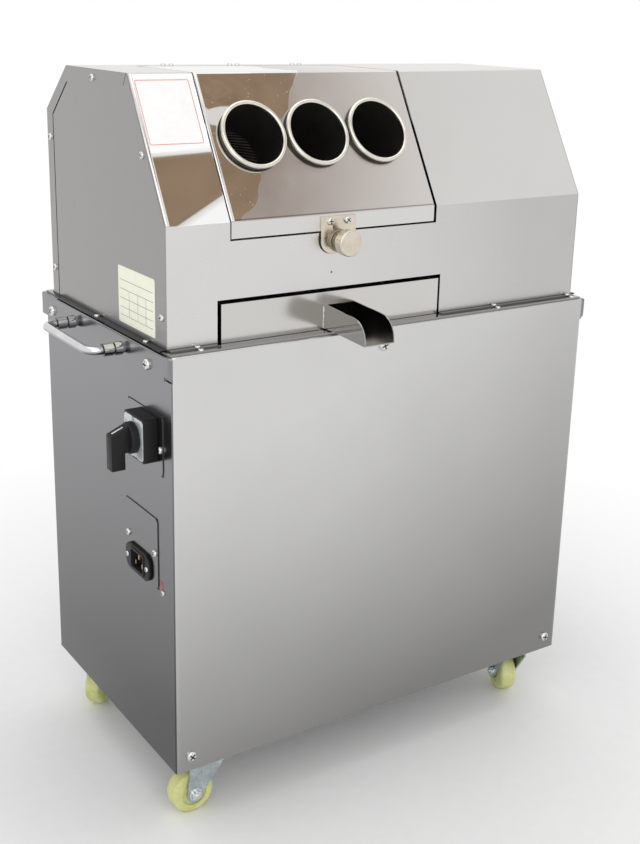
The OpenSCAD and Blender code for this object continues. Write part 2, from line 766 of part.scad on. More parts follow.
// Hood
hood_path = [[hood_front_y, deck_z], [hood_front_y, slope_z], [crest_y, top_z], [ridge_y, top_z]];
rear_path = [[ridge_y, top_z], [hood_rear_y, chamfer_z], [hood_rear_y, deck_z]];
seam = [[ridge_y, top_z], [ridge_y, top_z - rear_flange_w], [hood_rear_y - rear_flange_w,
    chamfer_z - rear_flange_w / 4],
    [hood_rear_y - rear_flange_w, deck_z]];
module hood_shell() color("silver") difference() {
    union() {
        along_x(-shell_x, shell_x) sheet(hood_path, hood_t);
        box([-shell_x, shell_x], [hood_front_y - flange_w, hood_front_y + hood_t], [deck_z,
            deck_z + hood_t]);
    }
    box([lid_x0 - lid_gap_left, lid_x1 + lid_gap_right], [hood_front_y - cut, hood_edge_y],
        [lip_z - lid_gap, top_z + cut]);
    box([slot_x0, slot_x1], [hood_front_y - flange_w - cut, hood_front_y + 2 * hood_t], [deck_z - cut,
        slot_z]);
    on_front(latch_x, latch_z, hood_front_y) screw_hole(catch_wall_d, hood_t);
    for (x = deck_screw_x) translate([x, hood_front_y - flange_w / 2, deck_z + hood_t])
        screw_hole(small_screw_d, hood_t);
    for (x = hinge_screw_x) translate([x, hinge_screw_y, top_z]) screw_hole(small_screw_d, hood_t);
}
module hood_rear_cover() color("silver") difference() {
    union() {
        along_x(-shell_x, shell_x) sheet(rear_path, hood_t);
        box([-shell_x, shell_x], [hood_rear_y - hood_t, hood_rear_y + flange_w], [deck_z,
            deck_z + hood_t]);
        both_sides() along_x(shell_x, hood_x) polygon(concat(folded(rear_path, bend_r), turned(seam)));
    }
    box([chute_x0, chute_x1], [hood_rear_y - 2 * hood_t, hood_rear_y + cut], [chute_foot_z,
        chute_foot_z + outlet_h]);
    box([-shell_x, shell_x], [ridge_y - 2 * hood_t, ridge_y], [top_z - 2 * hood_t, top_z + cut]);
    for (i = [3, 4]) {
        on_left(end_screws[i][0], end_screws[i][1], hood_x) screw_hole(small_screw_d, hood_t);
        on_right(end_screws[i][0], end_screws[i][1], hood_x) screw_hole(small_screw_d, hood_t);
    }
}
module hood_end() difference() {
    union() {
        along_x(shell_x, hood_x) polygon(concat(folded(hood_path, bend_r), [seam[1]],
            beside([for (i = [1:3]) seam[i]], seam_gap)));
        box([shell_x, flange_x], [hood_front_y, hood_rear_y - rear_flange_w - seam_gap],
            [deck_z, deck_z + hood_t]);
    }
    along_x(shell_x - cut, hood_x + cut) translate([crest_y, top_z]) rotate(slope_deg / 2 - 90)
        translate([0, -slit_w / 2]) square([slit_len, slit_w]);
    for (i = [0:2]) on_right(end_screws[i][0], end_screws[i][1], hood_x)
        screw_hole(small_screw_d, hood_t);
    for (y = flange_screw_y) translate([hood_x + flange_w / 2, y, deck_z + hood_t])
        screw_hole(small_screw_d, hood_t);
}
module hood_end_left() color("silver") mirror([1, 0, 0]) hood_end();
module hood_end_right() color("silver") hood_end();
module hood_screws() color("gainsboro") {
    both_sides() {
        for (p = end_screws) on_right(p[0], p[1], hood_x) mid_screw(hood_t);
        for (y = flange_screw_y) translate([hood_x + flange_w / 2, y, deck_z + hood_t])
            small_screw(hood_t);
    }
    for (x = deck_screw_x) translate([x, hood_front_y - flange_w / 2, deck_z + hood_t])
        small_screw(hood_t);
    for (x = hinge_screw_x) translate([x, hinge_screw_y, top_z]) small_screw(hood_t);
}
chute_foot_z = chute_z - (hood_rear_y - chute_y0) * tan(chute_fall_deg);
chute_tip_z = chute_z - (chute_tip_y - chute_y0) * tan(chute_fall_deg);
module bagasse_chute() color("silver") {
    along_x(chute_x0, chute_x1) polygon([[chute_y0, chute_z], [chute_tip_y, chute_tip_z],
        [chute_tip_y, chute_tip_z + hood_t], [chute_y0, chute_z + hood_t]]);
    for (x = [chute_x0, chute_x1 - hood_t]) along_x(x, x + hood_t) polygon([[chute_y0, chute_z],
        [chute_tip_y, chute_tip_z], [chute_tip_y, chute_tip_z + chute_wall], [chute_y0,
            chute_z + chute_wall]]);
}

// Handles
module handle() {
    far = handle_reach - handle_d / 2;
    for (y = [-1, 1]) {
        on_right(y * handle_pitch / 2, handle_z, skirt_x) {
            cylinder(d = handle_d, h = far - handle_bend);
            cylinder(d1 = ferrule_foot_d, d2 = ferrule_d, h = ferrule_foot_len);
            translate([0, 0, ferrule_foot_len]) cylinder(d = ferrule_d, h = ferrule_len);
            translate([0, 0, ferrule_foot_len + ferrule_len + ferrule_groove])
                cylinder(d = ferrule_sleeve_d, h = ferrule_sleeve_len);
        }
        translate([skirt_x + far - handle_bend, y * (handle_pitch / 2 - handle_bend), handle_z])
            mirror([0, (1 - y) / 2, 0]) rotate_extrude(angle = 90) translate([handle_bend, 0])
                circle(d = handle_d);
    }
    translate([skirt_x + far, handle_bend - handle_pitch / 2, handle_z]) rotate([-90, 0, 0])
        cylinder(d = handle_d, h = handle_pitch - 2 * handle_bend);
}
module handle_left() color("white") mirror([1, 0, 0]) handle();
module handle_right() color("white") handle();

// Controls
switch_base_x = side_x + plate_sheet;
switch_face_x = switch_base_x + switch_deep;
module switch_plate() color("silver") difference() {
    on_left(switch_plate_y, switch_plate_z) linear_extrude(plate_sheet)
        rounded(switch_plate_h, switch_plate_w, plate_round);
    on_left(switch_y, switch_z, switch_base_x) screw_hole(switch_neck_d, plate_sheet);
    on_left(switch_plate_y - switch_plate_w / 2 + switch_screw_in, switch_plate_z - plate_screw_drop,
        switch_base_x)
        screw_hole(small_screw_d, plate_sheet);
}
module switch_body() color("black") difference() {
    union() {
        on_left(switch_y, switch_z, switch_base_x) linear_extrude(switch_deep)
            rounded(switch_w, switch_w, switch_round);
        on_left(switch_y, switch_z, inner_x) cylinder(d = switch_neck_d, h = switch_base_x - inner_x);
        on_left(switch_y, switch_z, inner_x - switch_back_len) linear_extrude(switch_back_len)
            rounded(switch_back_w, switch_back_w, switch_round);
    }
    on_left(switch_y, switch_z, switch_face_x - knob_shaft_len)
        cylinder(d = knob_shaft_d + 2 * run_fit, h = knob_shaft_len + cut);
}
module switch_face() color("lightgray") on_left(switch_y, switch_z, switch_face_x)
    linear_extrude(switch_face_t) difference() {
    rounded(switch_w - 2 * switch_rim, switch_w - 2 * switch_rim, switch_round);
    circle(d = knob_shaft_d + 2 * part_gap);
}
module switch_knob() color("black") on_left(switch_y, switch_z,
    switch_face_x + switch_face_t + part_gap) {
    rotate_extrude() {
        square([knob_d / 2, knob_t - knob_round]);
        square([knob_d / 2 - knob_round, knob_t]);
        translate([knob_d / 2 - knob_round, knob_t - knob_round]) circle(knob_round);
    }
    rotate([90, 0, 0]) linear_extrude(grip_w, center = true) polygon([[grip_up, 0], [grip_up, knob_t],
        [grip_brow, grip_out], [-grip_down, grip_out], [-grip_down, grip_out - grip_deep],
        [-grip_root, grip_out - grip_deep], [-grip_root, 0]]);
    translate([0, 0, -knob_shaft_len]) cylinder(d = knob_shaft_d, h = knob_shaft_len);
}
module inlet_plate() color("silver") difference() {
    on_left(inlet_plate_y, inlet_plate_z) linear_extrude(plate_sheet)
        rounded(inlet_plate_h, inlet_plate_w, plate_round);
    on_left(inlet_y, inlet_z) cube([inlet_body_h + 2 * part_gap, inlet_body_w + 2 * part_gap,
        4 * plate_sheet], center = true);
    for (y = [-1, 1]) on_left(inlet_plate_y + y * (inlet_plate_w / 2 - small_head_d), inlet_plate_z,
        switch_base_x)
        screw_hole(small_screw_d, plate_sheet);
}
module cover_plates() {
    switch_plate();
    inlet_plate();
}
module power_inlet() color("black") on_left(inlet_y, inlet_z, switch_base_x) difference() {
    union() {
        linear_extrude(inlet_flange_t) rounded(inlet_h, inlet_w, inlet_round);
        linear_extrude(inlet_flange_t + inlet_stand) rounded(inlet_body_h, inlet_body_w, inlet_wall);
        translate([0, 0, -inlet_back]) linear_extrude(inlet_back)
            rounded(inlet_body_h, inlet_body_w, inlet_wall);
    }
    translate([0, 0, inlet_flange_t + inlet_stand - inlet_deep]) linear_extrude(inlet_deep + cut)
        rounded(inlet_body_h - 2 * inlet_wall, inlet_body_w - 2 * inlet_wall, inlet_wall);
    for (y = [-1, 1]) translate([0, y * inlet_screw_pitch / 2, inlet_flange_t])
        screw_hole(small_screw_d, inlet_flange_t);
}
module inlet_blades() color("gold") on_left(inlet_y, inlet_z, switch_base_x)
    for (i = [-1:1])
        translate([blade_shift * (1 - 2 * abs(i)) - blade_w / 2, i * blade_pitch - blade_t / 2,
            inlet_flange_t + inlet_stand - inlet_deep])
            cube([blade_w, blade_t, blade_len]);

// Feed lid, hinge and latch
lid_path = [[hood_front_y, lip_z], [hood_front_y, slope_z], [crest_y, top_z], [lid_rear_y, top_z]];
module feed_lid() color("silver") difference() {
    along_x(lid_x0, lid_x1) sheet(lid_path, hood_t);
    for (x = tube_x) on_slope(x, tube_up) translate([0, 0, -2 * hood_t])
        cylinder(r = tube_r, h = 4 * hood_t);
    for (x = [-1, 1]) on_front(latch_x + x * bracket_screw_pitch / 2, bracket_z1 - bracket_screw_drop,
        hood_front_y)
        screw_hole(small_screw_d, hood_t);
}
module feed_tube(i) color("silver") on_slope(tube_x[i], tube_up) rotate_extrude() {
    translate([tube_r - tube_t, -tube_in]) square([tube_t, tube_in + tube_stand - bead_d / 2]);
    translate([tube_r - tube_t / 2, tube_stand - bead_d / 2]) circle(d = bead_d);
    translate([tube_r - tube_t, -hood_t - tube_collar_w]) square([tube_t + tube_collar_w, tube_collar_w]);
}
module feed_tube_left() feed_tube(0);
module feed_tube_middle() feed_tube(1);
module feed_tube_right() feed_tube(2);
module leaf(kind, away, bore) difference() {
    union() {
        box([lid_x - hinge_len / 2, lid_x + hinge_len / 2], away > 0
            ? [hood_edge_y, hinge_y + leaf_w] : [hinge_y - leaf_w, lid_rear_y], [leaf_z,
                leaf_z + leaf_t]);
        for (i = [0:knuckles - 1]) if (i % 2 == kind) {
            x = lid_x - hinge_len / 2 + i * knuckle_len;
            ends = [x + part_gap / 2, x + knuckle_len - part_gap / 2];
            shaft_x([hinge_y, hinge_z], ends[0], ends[1], knuckle_d);
            box(ends, away > 0 ? [hinge_y, hood_edge_y] : [lid_rear_y, hinge_y], [leaf_z,
                leaf_z + leaf_t]);
        }
    }
    shaft_x([hinge_y, hinge_z], lid_x0, lid_x1, bore);
}
module lid_hinge_leaf() color("gray") leaf(1, -1, hinge_pin_d + 2 * run_fit);
module hood_hinge_leaf() color("gray") leaf(0, 1, hinge_pin_d);
module hinge_pin() color("darkgray")
    shaft_x([hinge_y, hinge_z], lid_x - hinge_len / 2, lid_x + hinge_len / 2, hinge_pin_d);
module latch_bracket() color("tan") difference() {
    along_y(bracket_y, hood_front_y) difference() {
        translate([latch_x, (bracket_z0 + bracket_z1) / 2]) {
            rounded(bracket_w, bracket_h, bracket_round);
            translate([-bracket_w / 2, 0]) square([bracket_w, bracket_h / 2]);
        }
        translate([latch_x, latch_z]) circle(d = latch_pin_d + 2 * run_fit);
        for (x = [-1, 1]) translate([latch_x + x * bracket_screw_pitch / 2,
            bracket_z1 - bracket_screw_drop])
            circle(d = small_screw_d + 2 * hole_fit);
    }
    box([latch_x - bracket_w, latch_x + bracket_w], [hood_front_y - bracket_back, hood_front_y + cut],
        [bracket_z0 - cut, lip_z]);
}
module latch_collar() color("tan") on_front(latch_x, latch_z, bracket_y) difference() {
    union() {
        cylinder(d = collar_d, h = collar_len / 2);
        cylinder(d = collar_d * collar_step_share, h = collar_len);
    }
    translate([0, 0, -cut]) cylinder(d = latch_pin_d + 2 * run_fit, h = collar_len + 2 * cut);
}
module latch_screws() color("gainsboro") for (x = [-1, 1])
    on_front(latch_x + x * bracket_screw_pitch / 2, bracket_z1 - bracket_screw_drop, bracket_y)
        mid_screw(bracket_t + hood_t);
module latch_knob() color("tan") on_front(latch_x, latch_z, pull_y) rotate_extrude() {
    square([pull_d / 2 - pull_round, pull_len]);
    translate([0, pull_round]) square([pull_d / 2, pull_len - 2 * pull_round]);
    for (h = [pull_round, pull_len - pull_round]) translate([pull_d / 2 - pull_round, h])
        circle(pull_round);
}
module latch_pin() color("tan") on_front(latch_x, latch_z, hood_front_y - part_gap)
    cylinder(d = latch_pin_d, h = hood_front_y - part_gap - pull_y);
module latch_catch() color("dimgray") on_front(latch_x, latch_z, hood_front_y)
    translate([0, 0, -catch_len]) difference() {
    union() {
        cylinder(d = catch_wall_d, h = catch_len);
        cylinder(d = catch_d, h = catch_len - hood_t);
    }
    translate([0, 0, -cut]) cylinder(d = latch_pin_d + 2 * catch_play, h = catch_len + 2 * cut);
}

// Juice tray
module juice_tray() color("silver") difference() {
    box([tray_x0, tray_x1], [tray_front_y, tray_rear_y], [tray_z, tray_top]);
    box([tray_x0 + tray_t, tray_x1 - tray_t], [tray_front_y + tray_t, tray_rear_y - tray_t],
        [tray_z + tray_t, tray_top + cut]);
    box([spout_x - spout_w / 2 + tray_t, spout_x + spout_w / 2 - tray_t], [tray_front_y - cut,
        tray_front_y + 2 * tray_t],
        [spout_z + tray_t, spout_z + spout_h - tray_t]);
}
spout_tip_z = spout_z - spout_fall;
spout_side = concat([[tray_front_y, spout_z], [tray_front_y, spout_z + spout_h]],
    [for (i = [0:arc_steps]) let (a = 90 * i / arc_steps)
        [spout_tip_y + spout_round - spout_round * sin(a),
            spout_tip_z + spout_nose + (spout_h - spout_nose) * cos(a)]],
    [[spout_tip_y, spout_tip_z], [spout_bend_y, spout_z]]);
module juice_spout() color("silver") {
    along_x(spout_x - spout_w / 2, spout_x + spout_w / 2) polygon([[tray_front_y, spout_z],
        [tray_front_y, spout_z + tray_t], [spout_bend_y, spout_z + tray_t],
        [spout_tip_y, spout_tip_z + tray_t], [spout_tip_y, spout_tip_z], [spout_bend_y, spout_z]]);
    for (x = [spout_x - spout_w / 2, spout_x + spout_w / 2 - tray_t]) along_x(x, x + tray_t)
        polygon(spout_side);
}

// Mill
module bearing_plate(x0, foot_x0) {
    low_y = front_at.x - plate_margin;
    high_y = rear_at.x + plate_margin;
    high_z = top_roller_z + plate_margin;
    along_x(x0, x0 + plate_t) difference() {
        polygon([[low_y, deck_z], [low_y, lower_z + plate_corner / 2], [mill_y - plate_corner, high_z],
            [mill_y + plate_corner, high_z],
            [high_y, lower_z + plate_corner / 2], [high_y, deck_z]]);
        for (at = mill_places) translate(at) circle(d = bush_d);
    }
    box([foot_x0, foot_x0 + plate_foot_w], [low_y, high_y], [deck_z, deck_z + plate_t]);
}
module bearing_plate_left() color("slategray") bearing_plate(plate_x0, plate_x0 - plate_foot_w);
module bearing_plate_right() color("slategray") bearing_plate(plate_x1, plate_x1 + plate_t);
module bush(at, x0, flange_x0) difference() {
    union() {
        shaft_x(at, x0, x0 + plate_t, bush_d);
        shaft_x(at, flange_x0, flange_x0 + bush_flange_t, bush_flange_d);
    }
    shaft_x(at, x0 - plate_t, x0 + 2 * plate_t, shaft_d + 2 * run_fit);
}
module roller_bushes() color("goldenrod") for (at = mill_places) {
    bush(at, plate_x0, plate_x0 - bush_flange_t);
    bush(at, plate_x1, plate_x1 + plate_t);
}
module top_roller() color("lightsteelblue") roller(top_at, reducer_x1 - plate_gap);
module front_roller() color("lightsteelblue") roller(front_at, shaft_end_x1);
module rear_roller() color("lightsteelblue") roller(rear_at, shaft_end_x1);
module top_gear() color("darkgray") roller_gear(top_at, 0);
module front_gear() color("darkgray") roller_gear(front_at, mesh_turn(front_at));
module rear_gear() color("darkgray") roller_gear(rear_at, mesh_turn(rear_at));
module turner_plate() color("slategray") {
    head_z = top_roller_z - roller_d / 2 - turner_gap;
    along_x(plate_x0 + plate_t, plate_x1) translate([mill_y, head_z]) {
        translate([-turner_head_w / 2, -turner_head_t]) square([turner_head_w, turner_head_t]);
        translate([-turner_web_t / 2, -turner_drop]) square([turner_web_t, turner_drop]);
    }
}

// Drive
module reducer_housing() color("steelblue") difference() {
    foot_y = [input_at.x - reducer_small_r, top_at.x + reducer_big_r];
    union() {
        along_x(reducer_x0, reducer_x1) {
            translate(top_at) circle(reducer_big_r);
            translate(input_at) circle(reducer_small_r);
            polygon([[foot_y[0], deck_z], [foot_y[0], input_at.y], [input_at.x,
                input_at.y + reducer_small_r],
                [top_at.x, top_at.y + reducer_big_r], [foot_y[1], top_at.y], [foot_y[1], deck_z]]);
        }
        box([reducer_x0 - reducer_foot_over / 2, reducer_x1 + reducer_foot_over / 2],
            [foot_y[0] - reducer_foot_over, foot_y[1] + reducer_foot_over / 2], [deck_z,
                deck_z + reducer_foot_t]);
        shaft_x(top_at, reducer_x0 - reducer_rib_t, reducer_x1, bush_flange_d + reducer_foot_over);
        shaft_x(input_at, reducer_x0, reducer_x1 + reducer_rib_t, bush_d);
        for (share = [0.25, 0.5, 0.75]) let (x = reducer_x0 + share * (reducer_x1 - reducer_x0))
            box([x - reducer_rib_t / 2, x + reducer_rib_t / 2], [foot_y[0] - reducer_rib_t,
                foot_y[1] + reducer_rib_t],
                [deck_z, input_at.y - reducer_rib_t]);
    }
    shaft_x(top_at, reducer_x0 - 2 * reducer_rib_t, reducer_x1 + cut, shaft_d + 2 * run_fit);
    shaft_x(input_at, reducer_x1 - shaft_in, reducer_x1 + 2 * reducer_rib_t, input_shaft_d + 2 * run_fit);
}
module reducer_pulley() color("darkslategray") pulley(input_at, big_pulley_d, input_shaft_d,
    reducer_x1 - shaft_in + part_gap);
module motor_pulley() color("darkslategray") pulley(motor_at, small_pulley_d, motor_shaft_d,
    motor_x1 - shaft_in + part_gap);
module drive_belt() color("black") along_x(belt_x - belt_w / 2, belt_x + belt_w / 2) difference() {
    belt_loop(big_pulley_d / 2 - belt_sink, small_pulley_d / 2 - belt_sink);
    belt_loop(big_pulley_d / 2 - belt_sink - belt_t, small_pulley_d / 2 - belt_sink - belt_t);
}
// Finned frame of the motor, drawn in (y, z)
module motor_face() {
    tip = motor_d / 2 - motor_fin_low;
    root = tip - motor_fin_h;
    step = 360 / motor_fins;
    lean = asin(motor_fin_t / 2 / root);
    lean_tip = asin(motor_fin_t / 2 / tip);
    polygon([for (i = [0:motor_fins - 1]) let (a = i * step)
        each [root * [cos(a - lean), sin(a - lean)], tip * [cos(a - lean_tip), sin(a - lean_tip)],
            tip * [cos(a + lean_tip), sin(a + lean_tip)], root * [cos(a + lean), sin(a + lean)]]]);
}
module motor_housing() color("royalblue") difference() {
    foot_z = motor_at.y - motor_h;
    foot_x = [motor_x0 + 2 * motor_bell_len, motor_x0 + 2 * motor_bell_len + foot_len];
    box_x = motor_x0 + 3 * motor_bell_len;
    nose_x = motor_x1 - motor_bell_len;
    union() {
        shaft_x(motor_at, motor_x0, motor_x0 + 2 * motor_bell_len, motor_d + motor_flange_t);
        along_x(motor_x0 + motor_bell_len, nose_x - motor_flange_t / 2) translate(motor_at) motor_face();
        shaft_x(motor_at, nose_x - motor_flange_t, nose_x, motor_d);
        translate([nose_x, motor_at.x, motor_at.y]) rotate([0, 90, 0])
            cylinder(d1 = motor_d, d2 = motor_d * motor_nose_share, h = motor_bell_len);
        box(foot_x, [motor_at.x - foot_span / 2, motor_at.x + foot_span / 2], [foot_z,
            foot_z + motor_foot_t]);
        box(foot_x, [motor_at.x - foot_span / 4, motor_at.x + foot_span / 4], [foot_z, motor_at.y]);
        box([box_x, box_x + terminal_w], [motor_at.x - terminal_d / 2, motor_at.x + terminal_d / 2],
            [motor_at.y, motor_at.y + motor_d / 2 + terminal_h]);
    }
    shaft_x(motor_at, motor_x1 - shaft_in, motor_x1 + cut, motor_shaft_d + 2 * run_fit);
}
module motor_rails() color("dimgray") for (y = [-1, 1])
    box([motor_x0 + motor_bell_len, motor_x1], [motor_at.x + (y * rail_pitch - rail_w) / 2,
        motor_at.x + (y * rail_pitch + rail_w) / 2], [pan_z, pan_z + rail_t]);

// Castors
module at_castor(x, y) translate([x * swivel_x, y * swivel_y, 0]) children();
module castor_plates() color("lightgray") for (x = [-1, 1]) for (y = [-1, 1]) at_castor(x, y)
    along_z(plate_z, edge_z) difference() {
        rounded(castor_plate_w, castor_plate_w, tread_round);
        circle(d = king_d + 2 * run_fit);
        for (i = [-1, 1]) for (j = [-1, 1]) translate([i, j] * castor_bolt_pitch / 2) circle(d = screw_d);
    }
module castor_fork(x, y, turn) color("lightgray") at_castor(x, y) rotate(turn) {
    axle = [trail, wheel_d / 2];
    translate([0, 0, crown_z]) cylinder(d = crown_d, h = crown_t);
    translate([0, 0, crown_z]) cylinder(d = king_d, h = edge_z - crown_z);
    for (side = [-1, 1]) along_y(side > 0 ? cheek_x : -cheek_x - cheek_t,
        side > 0 ? cheek_x + cheek_t : -cheek_x) {
        polygon([[-fork_w / 2, crown_z + crown_t], [fork_w / 2, crown_z + crown_t],
            [axle.x + fork_foot_r, axle.y],
            [axle.x - fork_foot_r, axle.y], [-fork_w / 2, crown_z - crown_t]]);
        translate(axle) circle(fork_foot_r);
    }
    translate([axle.x, cheek_x + cheek_t + axle_head_h, axle.y]) rotate([90, 0, 0]) {
        cylinder(d = axle_d, h = 2 * (cheek_x + cheek_t + axle_head_h));
        cylinder(d = axle_head_d, h = axle_head_h, $fn = 6);
        translate([0, 0, 2 * (cheek_x + cheek_t) + axle_head_h])
            cylinder(d = axle_head_d, h = axle_head_h, $fn = 6);
    }
}
module castor_wheel(x, y, turn) color("khaki") at_castor(x, y) rotate(turn)
    translate([trail, 0, wheel_d / 2]) rotate([90, 0, 0]) rotate_extrude() difference() {
        translate([0, -wheel_w / 2]) {
            translate([axle_d / 2 + run_fit,
                0]) square([wheel_d / 2 - tread_round - axle_d / 2 - run_fit, wheel_w]);
            translate([axle_d / 2 + run_fit, tread_round]) square([wheel_d / 2 - axle_d / 2 - run_fit,
                wheel_w - 2 * tread_round]);
            for (h = [tread_round, wheel_w - tread_round]) translate([wheel_d / 2 - tread_round, h])
                circle(tread_round);
        }
        for (side = [-1, 1]) translate([hub_d / 2, side * wheel_w / 2 - cheek_gap])
            square([wheel_d / 2 - hub_d / 2 - 2 * tread_round, 2 * cheek_gap]);
    }
module castor_fork_fl() castor_fork(-1, -1, fl_turn_deg);
module castor_fork_fr() castor_fork(1, -1, fr_turn_deg);
module castor_fork_rl() castor_fork(-1, 1, rl_turn_deg);
module castor_fork_rr() castor_fork(1, 1, rr_turn_deg);
module castor_wheel_fl() castor_wheel(-1, -1, fl_turn_deg);
module castor_wheel_fr() castor_wheel(1, -1, fr_turn_deg);
module castor_wheel_rl() castor_wheel(-1, 1, rl_turn_deg);
module castor_wheel_rr() castor_wheel(1, 1, rr_turn_deg);

cabinet_wrap();
rear_panel();
base_pan();
frame_posts();
cap_frame();
deck_plate();
cabinet_screws();
hood_shell();
hood_rear_cover();
hood_end_left();
hood_end_right();
bagasse_chute();
handle_left();
handle_right();
cover_plates();
switch_body();
switch_face();
switch_knob();
power_inlet();
inlet_blades();
feed_lid();
feed_tube_left();
feed_tube_middle();
feed_tube_right();
lid_hinge_leaf();
hood_hinge_leaf();
hinge_pin();
latch_bracket();
latch_collar();
latch_screws();
latch_knob();
latch_pin();
latch_catch();
juice_tray();
juice_spout();
bearing_plate_left();
bearing_plate_right();
roller_bushes();
top_roller();
front_roller();
rear_roller();
top_gear();
front_gear();
rear_gear();
turner_plate();
reducer_housing();
reducer_pulley();
drive_belt();
motor_housing();
motor_rails();
motor_pulley();
castor_plates();
castor_fork_fl();
castor_fork_fr();
castor_fork_rl();
castor_fork_rr();
castor_wheel_fl();
castor_wheel_fr();
castor_wheel_rl();
castor_wheel_rr();
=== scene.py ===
# %% [markdown]
# # A sugarcane juicer, dressed around its solids
# The imported solids are the fixed frame: cabinet, hood, lid, mill, drive and castors.
# This lesson gives every one of them a finish, adds the small things that a maker
# puts on last, and lights the machine like a catalogue picture.

# %% Load the frame, with a helper for the boxes of its parts
import json
import math
import bmesh
import bpy
from mathutils import Matrix, Vector


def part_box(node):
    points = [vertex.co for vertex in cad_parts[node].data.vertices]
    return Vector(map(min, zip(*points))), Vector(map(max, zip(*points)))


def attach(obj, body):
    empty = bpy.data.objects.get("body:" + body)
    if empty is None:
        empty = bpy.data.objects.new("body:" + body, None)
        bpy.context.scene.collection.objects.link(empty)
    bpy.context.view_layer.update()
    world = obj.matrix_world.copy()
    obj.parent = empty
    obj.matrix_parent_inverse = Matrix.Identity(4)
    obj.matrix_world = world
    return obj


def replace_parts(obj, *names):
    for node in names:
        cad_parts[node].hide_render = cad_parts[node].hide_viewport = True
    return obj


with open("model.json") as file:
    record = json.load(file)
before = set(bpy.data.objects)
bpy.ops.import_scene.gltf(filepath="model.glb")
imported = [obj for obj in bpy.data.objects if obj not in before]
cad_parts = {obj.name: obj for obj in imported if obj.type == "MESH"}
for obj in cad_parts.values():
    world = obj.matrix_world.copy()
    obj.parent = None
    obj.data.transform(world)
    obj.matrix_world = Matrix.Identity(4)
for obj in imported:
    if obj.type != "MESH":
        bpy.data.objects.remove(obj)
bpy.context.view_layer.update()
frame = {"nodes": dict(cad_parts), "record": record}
nodes = frame["nodes"]
slot_of = {part["node"]: part["material_slot"] for part in frame["record"]["subparts"]}

# %% [markdown]
# ## Camera
# The camera stands where a fit to the photo puts it: in front of the machine to the left, a
# little above the hood and looking down, with a lens of middle length. The picture's frame
# is lower than the lens axis, which is what the small shift is for.

# %% Camera
picture_w, picture_h = 640, 844
focal_px = 1222.67
axis_px = (319.6, 371.65)
eye = Vector((-0.7993, -1.2145, 0.8807))
yaw, pitch, roll = 0.586, 0.288, 0.024


def look_axes():
    ahead = Vector((math.sin(yaw) * math.cos(pitch), math.cos(yaw) * math.cos(pitch), -math.sin(pitch)))
    right = Vector((math.cos(yaw), -math.sin(yaw), 0.0))
    up = right.cross(ahead)
    return (right * math.cos(roll) + up * math.sin(roll),
            up * math.cos(roll) - right * math.sin(roll), ahead)


cam_right, cam_up, cam_ahead = look_axes()
camera_data = bpy.data.cameras.new("camera")
camera_data.sensor_fit = "VERTICAL"
camera_data.sensor_height = 36.0
camera_data.lens = focal_px * camera_data.sensor_height / picture_h
camera_data.shift_x = (picture_w / 2 - axis_px[0]) / picture_h
camera_data.shift_y = (axis_px[1] - picture_h / 2) / picture_h
camera_data.clip_start = 0.05
camera = bpy.data.objects.new("camera", camera_data)
camera.matrix_world = Matrix((
    (cam_right.x, cam_up.x, -cam_ahead.x, eye.x), (cam_right.y, cam_up.y, -cam_ahead.y, eye.y),
    (cam_right.z, cam_up.z, -cam_ahead.z, eye.z), (0, 0, 0, 1)))
bpy.context.scene.collection.objects.link(camera)
bpy.context.scene.camera = camera
print("lens", round(camera_data.lens, 2), "shift", round(camera_data.shift_y, 4))

# %% [markdown]
# ## Finishes: how the node trees are wired
# A finish is a Principled shader whose colour, roughness and bump come from noise in
# Object coordinates. The helpers below only save typing: each adds one node, sets it
# and links what is given.

# %% Helpers for finishes


